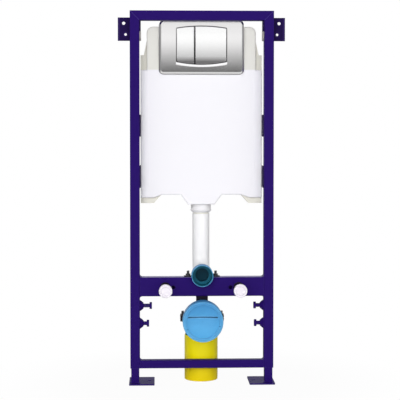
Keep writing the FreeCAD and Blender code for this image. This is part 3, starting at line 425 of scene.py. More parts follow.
class Workpiece:
    """A piece that is modelled here, from its first vertices to its place on a body."""

    STEPS = 48
    TURN_STEPS = 14
    LEAST_STEPS = 12
    FILLET_STEPS = 6
    TOOTH_ROOT = 0.2
    TOOTH_CREST = 0.28
    TOOTH_HALF = 0.4
    WASHER_ROUND = 0.35
    RIPPLE_DIP = 0.8
    MERGE_DISTANCE = 1e-6

    def __init__(self, name: str) -> None:
        """Start an empty piece.

        Args:
            name: The piece's name.
        """
        self.name = name
        self.mesh = bmesh.new()

    def ring(self, profile: list[tuple[float, float]], place: Matrix = UPRIGHT, closed: bool = True) -> None:
        """Spin a profile about the local Z axis.

        Args:
            profile: Radius and height of each corner.
            place: Where the ring goes.
            closed: Whether the last corner joins the first.
        """
        corners = [self.mesh.verts.new((radius, 0.0, height)) for radius, height in profile]
        pairs = list(zip(corners, corners[1:] + corners[:1] if closed else corners[1:]))
        edges = [self.mesh.edges.new(pair) for pair in pairs]
        spun = bmesh.ops.spin(self.mesh, geom=corners + edges, cent=(0, 0, 0), axis=(0, 0, 1),
                              angle=math.tau, steps=self.STEPS, use_merge=True)
        whole = set(verts_in(spun["geom_last"])) | {vert for vert in corners if vert.is_valid}
        self.move_linked(whole, place)

    def thread(self, radius: float, length: float, pitch: float, place: Matrix) -> None:
        """Spin a thread's ridge up a rod along the local Z axis.

        Args:
            radius: The rod's radius, which the ridge stands on.
            length: How far the thread goes.
            pitch: The height of one turn.
            place: Where the thread's start goes.
        """
        turns = length / pitch
        steps = max(self.LEAST_STEPS, int(turns * self.TURN_STEPS))
        root, crest = radius - pitch * self.TOOTH_ROOT, radius + pitch * self.TOOTH_CREST
        half = pitch * self.TOOTH_HALF
        tooth = [(root, -half), (crest, 0.0), (root, half)]
        corners = [self.mesh.verts.new((across, 0.0, up)) for across, up in tooth]
        first = self.mesh.faces.new(corners)
        bmesh.ops.spin(self.mesh, geom=[first, *first.edges, *corners], cent=(0, 0, 0), axis=(0, 0, 1),
                       dvec=(0, 0, length / steps), angle=math.tau * turns, steps=steps)
        self.move_linked(set(corners), place)

    def fillet(self, leg: float, length: float, place: Matrix) -> None:
        """Make a hollow fillet in a corner, along the local Y axis, with its legs along local X and Z.

        Args:
            leg: How far the fillet reaches along each side.
            length: The fillet's length.
            place: Where the corner's front end goes.
        """
        corner = self.mesh.verts.new((0.0, 0.0, 0.0))
        start = self.mesh.verts.new((leg, 0.0, 0.0))
        arc = bmesh.ops.spin(self.mesh, geom=[start], cent=(leg, 0, leg), axis=(0, 1, 0),
                             angle=math.radians(90), steps=self.FILLET_STEPS)
        last = verts_in(arc["geom_last"])[0]
        self.mesh.edges.new((corner, start))
        self.mesh.edges.new((last, corner))
        self.mesh.verts.ensure_lookup_table()
        rim = self.linked({corner})
        edges = list({edge for vert in rim for edge in vert.link_edges})
        made = bmesh.ops.contextual_create(self.mesh, geom=edges)["faces"]
        pulled = bmesh.ops.extrude_face_region(self.mesh, geom=made)["geom"]
        bmesh.ops.translate(self.mesh, verts=verts_in(pulled), vec=(0, length, 0))
        self.move_linked({corner}, place)

    def washer(self, bore: float, rim: float, thick: float, place: Matrix) -> None:
        """Turn a washer with a rounded rim on the local Z axis.

        Args:
            bore: The hole's radius.
            rim: The outer radius.
            thick: The thickness.
            place: Where its lower face goes.
        """
        nip = thick * self.WASHER_ROUND
        self.ring([(bore, 0.0), (rim, 0.0), (rim, thick - nip), (rim - nip, thick), (bore + nip, thick),
                   (bore, thick - nip)], place)

    def bead(self, start: Vector, end: Vector, radius: float, ripple: float) -> None:
        """Lay a rippled weld bead.

        Args:
            start: Where the bead starts.
            end: Where it ends.
            radius: Its radius.
            ripple: The length of one ripple.
        """
        way = end - start
        count = max(2, round(way.length / ripple))
        crests = [(radius * (1.0 if i % 2 else self.RIPPLE_DIP), way.length * i / (2 * count))
                  for i in range(2 * count + 1)]
        turn = way.to_track_quat("Z", "Y").to_matrix().to_4x4()
        self.ring([(0.0, 0.0), *crests, (0.0, way.length)], Matrix.Translation(start) @ turn, closed=False)

    def block(self, low: Vector, high: Vector, edge: float) -> None:
        """Make a block with rounded edges.

        Args:
            low: Its lowest corner.
            high: Its highest corner.
            edge: How far the rounding reaches.
        """
        made = bmesh.ops.create_cube(self.mesh, size=1.0)["verts"]
        span = Matrix.Diagonal((*(high - low), 1.0))
        bmesh.ops.transform(self.mesh, matrix=Matrix.Translation((low + high) / 2) @ span, verts=made)
        edges = list({joined for vert in made for joined in vert.link_edges})
        bmesh.ops.bevel(self.mesh, geom=edges, offset=edge, offset_type="OFFSET", affect="EDGES", segments=2,
                        profile=0.5, material=-1)

    @staticmethod
    def linked(seeds: set) -> set:
        """Find every vertex joined to some vertices.

        Args:
            seeds: Where the search starts.

        Returns:
            The vertices.
        """
        found, waiting = set(seeds), list(seeds)
        while waiting:
            for edge in waiting.pop().link_edges:
                for vert in edge.verts:
                    if vert not in found:
                        found.add(vert)
                        waiting.append(vert)
        return found

    def move_linked(self, seeds: set, place: Matrix) -> None:
        """Put a finished shape in its place.

        Args:
            seeds: Some of its vertices.
            place: Where it goes.
        """
        bmesh.ops.transform(self.mesh, matrix=place, verts=list(self.linked(seeds)))

    def finish(self, finishes: Finishes, finish: Finish, body: Body, smooth: float = 40.0) -> None:
        """Close the mesh and hand the piece to its body.

        Args:
            finishes: The materials.
            finish: The piece's finish.
            body: What the piece rides on.
            smooth: The largest angle between faces, in degrees, that is shaded smooth.
        """
        bmesh.ops.remove_doubles(self.mesh, verts=self.mesh.verts, dist=self.MERGE_DISTANCE)
        bmesh.ops.recalc_face_normals(self.mesh, faces=self.mesh.faces)
        for face in self.mesh.faces:
            face.smooth = True
        for edge in self.mesh.edges:
            edge.smooth = edge.calc_face_angle(0.0) < math.radians(smooth)
        data = bpy.data.meshes.new(self.name)
        self.mesh.to_mesh(data)
        self.mesh.free()
        data.materials.append(finishes.made[finish.name])
        piece = bpy.data.objects.new(self.name, data)
        bpy.context.scene.collection.objects.link(piece)
        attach(piece, body.value)
        log.info("built %s on %s", self.name, body.value)


def middle(node: str) -> Vector:
    """The middle of a node's box."""
    low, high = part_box(node)
    return (low + high) / 2


@dataclass
class WeldedFrame:
    """Posts and rails, with the welds between them."""

    finishes: Finishes
    weld_leg: float = 0.007
    weld_inset: float = 0.001
    seam_radius: float = 0.0008
    seam_ripple: float = 0.0024
    seam_sink: float = 0.0003

    def build(self) -> None:
        """Dress the tubes and weld their corners, except under the bottom rail, where the posts end."""
        self.finishes.dress(Finishes.PAINT, "left_post", "right_post", "top_rail", "bottom_rail")
        # The bowl rail gets a painted highlight on its top face.
        self.finishes.dress(Finishes.RAIL, "bowl_rail")
        welds = Workpiece("rail_welds")
        for rail, sides in (("bowl_rail", (-1, 1)), ("bottom_rail", (1,))):
            low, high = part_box(rail)
            for x, across in ((low.x, 1), (high.x, -1)):
                for up in sides:
                    corner = Vector((x, low.y, high.z if up > 0 else low.z))
                    self.weld(welds, corner, high.y - low.y, across, up)
        welds.finish(self.finishes, Finishes.PAINT, Body.FRAME)
        self.seam_mitres()

    def weld(self, welds: Workpiece, corner: Vector, depth: float, across: int, up: int) -> None:
        """Put one fillet weld in a corner.

        Args:
            welds: The piece that holds the welds.
            corner: The corner's front end.
            depth: How deep the corner is.
            across: The sign of X away from the post.
            up: The sign of Z away from the rail.
        """
        flip = Matrix.Diagonal((across, 1, up, 1))
        start = Matrix.Translation(corner + Vector((0, self.weld_inset, 0)))
        welds.fillet(self.weld_leg, depth - 2 * self.weld_inset, start @ flip)

    def seam_mitres(self) -> None:
        """Lay a ground weld along each mitre, on the front and on the back."""
        seams = Workpiece("mitre_seams")
        low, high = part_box("top_rail")
        reach = high.z - low.z
        for hand in Hand:
            outer = high.x * hand.value
            for y in (low.y + self.seam_sink, high.y - self.seam_sink):
                start = Vector((outer - self.seam_radius * hand.value, y, high.z - self.seam_radius))
                end = Vector((outer - reach * hand.value, y, low.z))
                seams.bead(start, end, self.seam_radius, self.seam_ripple)
        seams.finish(self.finishes, Finishes.SEAM, Body.FRAME)


@dataclass
class WallBrackets:
    """Wall brackets with hemmed ends, their clips and washers."""

    finishes: Finishes
    hem_width: float = 0.0072
    hem_thick: float = 0.0012
    hem_edge: float = 0.0004
    hole_across: float = 0.2385
    hole_height: float = 1.098
    washer_bore: float = 0.0042
    washer_rim: float = 0.0085
    washer_thick: float = 0.001

    def build(self) -> None:
        """Dress the brackets, hem them and put a washer at each lower hole."""
        # The brackets get the darker indigo as painted shade.
        self.finishes.dress(Finishes.BRACKET, "left_wall_bracket", "right_wall_bracket")
        self.finishes.dress(Finishes.CLIP, "left_bracket_clip", "right_bracket_clip")
        hems = Workpiece("bracket_hems")
        washers = Workpiece("bracket_washers")
        for hand in Hand:
            low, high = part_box(f"{hand.word}_wall_bracket")
            outer = low.x if hand is Hand.LEFT else high.x
            inner = outer - self.hem_width * hand.value
            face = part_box(f"{hand.word}_post")[1].y
            hems.block(Vector((min(outer, inner), face - self.hem_thick, low.z)),
                       Vector((max(outer, inner), face, high.z)), self.hem_edge)
            place = Matrix.Translation((self.hole_across * hand.value, face, self.hole_height)) @ FORWARD
            washers.washer(self.washer_bore, self.washer_rim, self.washer_thick, place)
        # Hems and washers carry a painted highlight.
        hems.finish(self.finishes, Finishes.HEM_HIGHLIGHT, Body.FRAME)
        washers.finish(self.finishes, Finishes.HEM_HIGHLIGHT, Body.FRAME)


@dataclass
class Legs:
    """Telescopic legs, their foot plates and their lock screws."""

    finishes: Finishes
    weld_leg: float = 0.0035
    weld_round: float = 0.0004375
    post_face: float = 0.195
    boss_height: float = 0.0115
    screw_radius: float = 0.006
    thread_pitch: float = 0.00175
    upper_level: float = 0.246
    lower_level: float = 0.19
    left_upper_stand: float = 0.019
    left_lower_stand: float = 0.01
    right_upper_stand: float = 0.013
    right_lower_stand: float = 0.011

    def build(self) -> None:
        """Dress the legs, weld them to their plates and cut threads on the lock screws."""
        for hand in Hand:
            self.finishes.dress(Finishes.PAINT, f"{hand.word}_leg", f"{hand.word}_foot_plate",
                                f"{hand.word}_lock_bosses", f"{hand.word}_lock_screws")
            self.weld_foot(hand)
        bright = Workpiece("bright_lock_threads")
        self.thread(bright, Hand.LEFT, self.upper_level, self.left_upper_stand)
        bright.finish(self.finishes, Finishes.ZINC, Body.FRAME)
        painted = Workpiece("painted_lock_threads")
        self.thread(painted, Hand.LEFT, self.lower_level, self.left_lower_stand)
        self.thread(painted, Hand.RIGHT, self.upper_level, self.right_upper_stand)
        self.thread(painted, Hand.RIGHT, self.lower_level, self.right_lower_stand)
        painted.finish(self.finishes, Finishes.PAINT, Body.FRAME)

    def weld_foot(self, hand: Hand) -> None:
        """Weld a leg to its foot plate all round.

        Args:
            hand: Which leg.
        """
        weld = Workpiece(f"{hand.word}_foot_weld")
        low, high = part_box(f"{hand.word}_leg")
        reach = Vector((self.weld_leg, self.weld_leg, 0.0))
        weld.block(low - reach, Vector((high.x, high.y, low.z + self.weld_leg)) + reach, self.weld_round)
        upper = [vert for vert in weld.mesh.verts if vert.co.z > low.z + self.weld_leg / 2]
        across, deep = ((high[i] - low[i]) / (high[i] - low[i] + 2 * self.weld_leg) for i in (0, 1))
        bmesh.ops.scale(weld.mesh, vec=(across, deep, 1.0), verts=upper,
                        space=Matrix.Translation((low + high) / -2))
        body = Body.LEFT_FOOT if hand is Hand.LEFT else Body.RIGHT_FOOT
        weld.finish(self.finishes, Finishes.PAINT, body)

    def thread(self, threads: Workpiece, hand: Hand, level: float, stand: float) -> None:
        """Cut the thread on the bare length of one lock screw.

        Args:
            threads: The piece that holds the threads.
            hand: Which post the screw is in.
            level: Its height.
            stand: How far its head stands off the boss.
        """
        start = Matrix.Translation(((self.post_face - self.boss_height) * hand.value, 0, level))
        inward = TO_RIGHT if hand is Hand.LEFT else TO_LEFT
        threads.thread(self.screw_radius, stand, self.thread_pitch, start @ inward)


@dataclass
class Cistern:
    """The tank, its cover and the pads that hold them."""

    finishes: Finishes
    rib_across: float = 0.167
    rib_width: float = 0.0016
    rib_proud: float = 0.0006
    rib_low: float = 0.62
    rib_high: float = 0.965

    def build(self) -> None:
        """Dress the cistern and mould the cover's edge ribs."""
        self.finishes.dress(Finishes.CREAM, "cistern_tank")
        # The cover carries painted shade on its top band.
        self.finishes.dress(Finishes.COVER, "cistern_front")
        # The pads get the darker indigo as painted shade.
        self.finishes.dress(Finishes.BRACKET, "left_cistern_pads", "right_cistern_pads")
        ribs = Workpiece("cover_ribs")
        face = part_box("cistern_front")[0].y
        for hand in Hand:
            across = self.rib_across * hand.value
            ribs.block(Vector((across - self.rib_width / 2, face - self.rib_proud, self.rib_low)),
                       Vector((across + self.rib_width / 2, face + self.rib_proud, self.rib_high)),
                       self.rib_proud / 2)
        ribs.finish(self.finishes, Finishes.COVER, Body.FRAME)


@dataclass
class FlushPlate:
    """The flush plate, its two buttons, the dark strips of painted shadow round them and the bright strip of
    painted highlight below the buttons.
    """

    finishes: Finishes
    opening_side: float = 0.0805
    top_level: float = 1.119
    top_bow: float = 0.007
    foot_level: float = 1.013
    foot_bow: float = 0.009
    scoop_start: float = 0.0008
    scoop_run: float = 0.00285
    scoop_fall: float = 0.0066
    highlight_lift: float = 0.0004
    highlight_sink: float = 0.9
    lip_y: float = 0.0235
    steps: int = 32
    shadow_width: float = 0.0021
    shadow_thick: float = 0.0006
    split_low: float = -0.0236
    split_high: float = -0.0199
    rim_corner: float = 0.013
    rim_proud: float = 0.0014
    rim_sink: float = 0.0005
    rim_thick: float = 0.0012

    def build(self) -> None:
        """Dress the plate and buttons, lay dark strips of painted shadow round them and a strip of painted
        highlight in the scoop.
        """
        self.finishes.dress(Finishes.CHROME, "flush_plate")
        # The buttons carry a painted reflection.
        self.finishes.dress(Finishes.BUTTON, "small_flush_button", "large_flush_button")
        self.highlight_scoop()
        self.shade_button_gaps()
        self.shade_plate_rim()

    def arc(self, mesh: bmesh.types.BMesh, level: float, bow: float) -> tuple:
        """Draw one arc of the opening, from its left end to its right end.

        Args:
            mesh: The mesh that gets the arc.
            level: The height of its ends.
            bow: How far its middle stands above them, or below them where this is negative.

        Returns:
            The vertices at its two ends.
        """
        radius = (self.opening_side ** 2 + bow ** 2) / (2 * bow)
        centre = Vector((0.0, self.lip_y, level + bow - radius))
        sweep = 2 * math.asin(self.opening_side / radius)
        start = mesh.verts.new((-self.opening_side, self.lip_y, level))
        spun = bmesh.ops.spin(mesh, geom=[start], cent=centre, axis=(0, 1, 0), angle=sweep, steps=self.steps)
        return start, verts_in(spun["geom_last"])[0]

    @staticmethod
    def band(mesh: bmesh.types.BMesh, face: bmesh.types.BMFace, width: float, thick: float) -> None:
        """Turn a flat face into a band along its rim.

        Args:
            mesh: The mesh that holds the face.
            face: The face, which faces front or back.
            width: The band's width.
            thick: The band's thickness, towards the front.
        """
        bmesh.ops.inset_region(mesh, faces=[face], thickness=width, use_even_offset=True, use_boundary=True)
        bmesh.ops.delete(mesh, geom=[face], context="FACES")
        pulled = bmesh.ops.extrude_face_region(mesh, geom=list(mesh.faces))["geom"]
        bmesh.ops.translate(mesh, verts=verts_in(pulled), vec=(0.0, -thick, 0.0))

    def shade_button_gaps(self) -> None:
        """Lay a dark strip of painted shadow round the opening and down the split between the buttons."""
        shadow_line = Workpiece("button_shadow_line")
        top_start, top_end = self.arc(shadow_line.mesh, self.top_level, self.top_bow)
        foot_start, foot_end = self.arc(shadow_line.mesh, self.foot_level, -self.foot_bow)
        shadow_line.mesh.edges.new((top_start, foot_start))
        shadow_line.mesh.edges.new((top_end, foot_end))
        face = bmesh.ops.contextual_create(shadow_line.mesh, geom=list(shadow_line.mesh.edges))["faces"][0]
        self.band(shadow_line.mesh, face, self.shadow_width, self.shadow_thick)
        half = self.shadow_width / 2
        split_foot = self.foot_level - self.foot_bow + half
        split_top = self.top_level + self.top_bow - half
        shadow_line.block(Vector((self.split_low, self.lip_y - self.shadow_thick, split_foot)),
                   Vector((self.split_high, self.lip_y, split_top)), self.shadow_thick / 4)
        shadow_line.finish(self.finishes, Finishes.SHADOW_STRIP, Body.FRAME)

    def shade_plate_rim(self) -> None:
        """Lay a dark strip of painted shadow round the plate, where it meets the cover."""
        shadow_line = Workpiece("plate_shadow_line")
        low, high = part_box("flush_plate")
        seat = Vector(((low.x + high.x) / 2, high.y, (low.z + high.z) / 2))
        half = Matrix.Diagonal(((high.x - low.x) / 2 + self.rim_proud,
                                (high.z - low.z) / 2 + self.rim_proud, 1, 1))
        bmesh.ops.create_grid(shadow_line.mesh, x_segments=1, y_segments=1, size=1.0,
                              matrix=Matrix.Translation(seat) @ FORWARD @ half)
        bmesh.ops.bevel(shadow_line.mesh, geom=list(shadow_line.mesh.verts), offset=self.rim_corner + self.rim_proud,
                        offset_type="OFFSET", affect="VERTICES", segments=8, profile=0.5, material=-1)
        shadow_line.mesh.faces.ensure_lookup_table()
        self.band(shadow_line.mesh, shadow_line.mesh.faces[0], self.rim_proud + self.rim_sink, self.rim_thick)
        shadow_line.finish(self.finishes, Finishes.SHADOW_STRIP, Body.FRAME)

    def highlight_scoop(self) -> None:
        """Lay a bright strip along the scoop's arc, a painted highlight."""
        highlight_strip = Workpiece("scoop_highlight")
        self.arc(highlight_strip.mesh, self.foot_level, -self.foot_bow)
        edges = list(highlight_strip.mesh.edges)
        way = Vector((0.0, -self.scoop_run, -self.scoop_fall))
        lift = Vector((0.0, -self.scoop_fall, self.scoop_run)).normalized() * self.highlight_lift
        shift = way * (self.scoop_start / way.length) + lift
        bmesh.ops.translate(highlight_strip.mesh, verts=highlight_strip.mesh.verts, vec=shift)
        pulled = bmesh.ops.extrude_edge_only(highlight_strip.mesh, edges=edges)["geom"]
        bmesh.ops.translate(highlight_strip.mesh, verts=verts_in(pulled), vec=way)
        sunk = bmesh.ops.extrude_face_region(highlight_strip.mesh, geom=list(highlight_strip.mesh.faces))["geom"]
        bmesh.ops.translate(highlight_strip.mesh, verts=verts_in(sunk), vec=lift * -self.highlight_sink)
        highlight_strip.finish(self.finishes, Finishes.INSERT, Body.FRAME)


@dataclass
class ClampBolts:
    """The two bolts that close a pipe clamp, one at each side of the pipe."""

    finishes: Finishes
    name: str
    across: float
    depth: float
    seat: float
    nut_height: float = 0.0065
    bolt_radius: float = 0.004
    bolt_tail: float = 0.009
    thread_pitch: float = 0.00125
    washer_rim: float = 0.0085
    washer_thick: float = 0.0012

    def build(self) -> None:
        """Put a washer under each nut and cut the thread above it."""
        bolts = Workpiece(self.name)
        for hand in Hand:
            seat = Matrix.Translation((self.across * hand.value, self.depth, self.seat))
            bolts.washer(self.bolt_radius, self.washer_rim, self.washer_thick, seat)
            bolts.thread(self.bolt_radius, self.bolt_tail, self.thread_pitch,
                         Matrix.Translation((0, 0, self.nut_height)) @ seat)
        bolts.finish(self.finishes, Finishes.BOLT, Body.FRAME)


@dataclass
class FlushPipe:
    """The flush pipe from its coupling to its plugged outlet."""

    finishes: Finishes
    cup_floor: float = -0.025
    cup_radius: float = 0.0308
    cup_depth: float = 0.0352
    cup_lip: float = 0.0013
    spigot_radius: float = 0.0211
    spigot_depth: float = 0.0168
    liner_wall: float = 0.0011
    liner_lift: float = 0.2
    lip_round: float = 0.6
    outlet_level: float = 0.345
    bolt_across: float = 0.0433
    bolt_depth: float = 0.0
    bolt_seat: float = 0.34

    def build(self) -> None:
        """Dress the pipework, line the outlet, close its bore with painted shade and finish the clamp bolts.
        """
        self.finishes.dress(Finishes.PIPE, "flush_pipe")
        self.finishes.dress(Finishes.COUPLING, "flush_coupling")
        # The flush plug carries painted shade and a painted rim highlight.
        self.finishes.dress(Finishes.BLUE, "flush_plug")
        self.finishes.dress(Finishes.CLAMP, "flush_clamp")
        self.finishes.dress(Finishes.BOLT, "flush_clamp_bolts")
        self.line_outlet()
        bolts = ClampBolts(self.finishes, "flush_bolt_threads", self.bolt_across, self.bolt_depth,
                           self.bolt_seat)
        bolts.build()

    def line_outlet(self) -> None:
        """Line the plug's cup and its spigot with a seal that laps over the cup's rim, and close the spigot
        with a dark disc of painted shade.
        """
        wall, cup, spigot, depth = self.liner_wall, self.cup_radius, self.spigot_radius, self.cup_depth
        place = Matrix.Translation((0.0, self.cup_floor, self.outlet_level)) @ FORWARD
        liner = Workpiece("outlet_liner")
        foot, top = wall * self.liner_lift, depth + wall / 2
        liner.ring([(spigot, foot), (cup, foot), (cup, depth), (cup + self.cup_lip, depth),
                    (cup + self.cup_lip * self.lip_round, top), (cup - wall / 2, top), (cup - wall, depth),
                    (cup - wall, foot + wall), (spigot, foot + wall)], place)
        liner.finish(self.finishes, Finishes.TEAL, Body.FRAME)
        # Painted shade: a dark disc closing the spigot's far end.
        bore = Workpiece("outlet_bore_shade")
        end = -self.spigot_depth
        bore.ring([(0.0, end), (spigot, end), (spigot, wall), (spigot - wall, wall),
                   (spigot - wall, wall + end), (0.0, wall + end)], place, closed=False)
        bore.finish(self.finishes, Finishes.BORE_SHADE, Body.FRAME)


@dataclass
class Drain:
    """The drain bend with its clamp, plug and cap."""

    finishes: Finishes
    bolt_across: float = 0.0608
    bolt_depth: float = -0.0175
    bolt_seat: float = 0.2155
    axis_level: float = 0.21
    notch_reach: float = 0.0535
    notch_turns: tuple[float, ...] = (-15.0, -154.0)
    notch_size: tuple[float, float, float] = (0.0052, 0.003, 0.0022)
    notch_y: float = -0.1164
    band: tuple[tuple[float, float], ...] = (
        (0.051, 0.1124), (0.0588, 0.1168), (0.0588, 0.1173), (0.0582, 0.1176), (0.0516, 0.1176),
        (0.051, 0.117))
    slot_low: tuple[float, float, float] = (-0.0452, -0.0968, 0.2212)
    slot_high: tuple[float, float, float] = (0.0452, -0.0958, 0.2248)
    lip_bore: float = 0.0505
    lip_rim: float = 0.0529
    lip_low: float = 0.1378
    lip_high: float = 0.144
    heel: tuple[tuple[float, float], ...] = (
        (0.0445, 0.0011), (0.0515, 0.0011), (0.0528, 0.0024), (0.0528, 0.0105), (0.0521, 0.0105),
        (0.0499, 0.004))

    def build(self) -> None:
        """Dress the drain, finish its clamp bolts and detail its plug and its cap."""
        self.finishes.dress(Finishes.DRAIN, "drain_bend")
        self.finishes.dress(Finishes.CLAMP, "drain_clamp_upper", "drain_clamp_lower", "drain_hanger")
        self.finishes.dress(Finishes.BOLT, "drain_clamp_bolts")
        # The drain plug carries painted shade and a painted rim highlight.
        self.finishes.dress(Finishes.BLUE, "drain_plug")
        # The cap carries painted shade below the bottom rail.
        self.finishes.dress(Finishes.YELLOW, "drain_cap")
        bolts = ClampBolts(self.finishes, "drain_bolt_threads", self.bolt_across, self.bolt_depth,
                           self.bolt_seat)
        bolts.build()
        self.detail_plug()
        self.detail_cap()

    def detail_plug(self) -> None:
        """Notch the plug, lay a strip of painted shade on its slot's floor and lay the flat band round its
        dish.
        """
        notch_and_shade_marks = Workpiece("plug_notches_and_slot_shade")
        half = Vector(self.notch_size) / 2
        for turn in self.notch_turns:
            spot = Vector((self.notch_reach * math.cos(math.radians(turn)), self.notch_y,
                           self.axis_level + self.notch_reach * math.sin(math.radians(turn))))
            notch_and_shade_marks.block(spot - half, spot + half, self.notch_size[2] / 4)
        # Painted shade: a dark strip on the slot's floor.
        notch_and_shade_marks.block(Vector(self.slot_low), Vector(self.slot_high), self.notch_size[2] / 8)
        notch_and_shade_marks.finish(self.finishes, Finishes.NOTCH_AND_SLOT_SHADE, Body.FRAME)
        # The band carries painted shade and a painted edge highlight.
        band = Workpiece("plug_band")
        band.ring(list(self.band), Matrix.Translation((0.0, 0.0, self.axis_level)) @ FORWARD)
        band.finish(self.finishes, Finishes.BAND, Body.FRAME)

    def detail_cap(self) -> None:
        """Put a lip at the cap's mouth and a rounded heel at its foot."""
        lip = Workpiece("cap_lip")
        axis = middle("drain_cap")
        place = Matrix.Translation((axis.x, axis.y, 0.0))
        round_top = (self.lip_rim - self.lip_bore) / 3
        lip.ring([(self.lip_bore, self.lip_low), (self.lip_rim, self.lip_low),
                  (self.lip_rim, self.lip_high - round_top), (self.lip_rim - round_top, self.lip_high),
                  (self.lip_bore, self.lip_high)], place)
        lip.finish(self.finishes, Finishes.YELLOW, Body.FRAME)
        heel = Workpiece("cap_heel")
        heel.ring(list(self.heel), place)
        heel.finish(self.finishes, Finishes.YELLOW, Body.FRAME)


@dataclass
class BowlStuds:
    """The bowl studs under their sleeves and caps."""

    finishes: Finishes
    washer_bore: float = 0.0112
    washer_rim: float = 0.0165
    washer_thick: float = 0.003

    def build(self) -> None:
        """Dress the studs, and put a broad washer behind each sleeve."""
        washers = Workpiece("stud_washers")
        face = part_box("bowl_rail")[0].y
        for hand in Hand:
            self.finishes.dress(Finishes.ZINC, f"{hand.word}_bowl_stud")
            self.finishes.dress(Finishes.CLAMP, f"{hand.word}_stud_sleeve")
            # The caps carry painted shade along their edges.
            self.finishes.dress(Finishes.CAP, f"{hand.word}_stud_cap")
            axis = middle(f"{hand.word}_stud_cap")
            washers.washer(self.washer_bore, self.washer_rim, self.washer_thick,
                           Matrix.Translation((axis.x, face, axis.z)) @ FORWARD)
        washers.finish(self.finishes, Finishes.CLAMP, Body.FRAME)


@dataclass(frozen=True)
class Lamp:
    """A round lamp that faces a height on the object's upright axis."""

    name: str
    place: tuple[float, float, float]
    aim: float
    size: float
    spread: float
    power: float

    def hang(self) -> None:
        """Hang the lamp where reflections don't show it."""
        data = bpy.data.lights.new(self.name, "AREA")
        data.shape = "DISK"
        data.size = self.size
        data.spread = math.radians(self.spread)
        data.energy = self.power
        lamp = bpy.data.objects.new(self.name, data)
        lamp.location = self.place
        way = Vector((0, 0, self.aim)) - Vector(self.place)
        lamp.rotation_euler = way.to_track_quat("-Z", "Y").to_euler()
        lamp.visible_glossy = False
        bpy.context.scene.collection.objects.link(lamp)


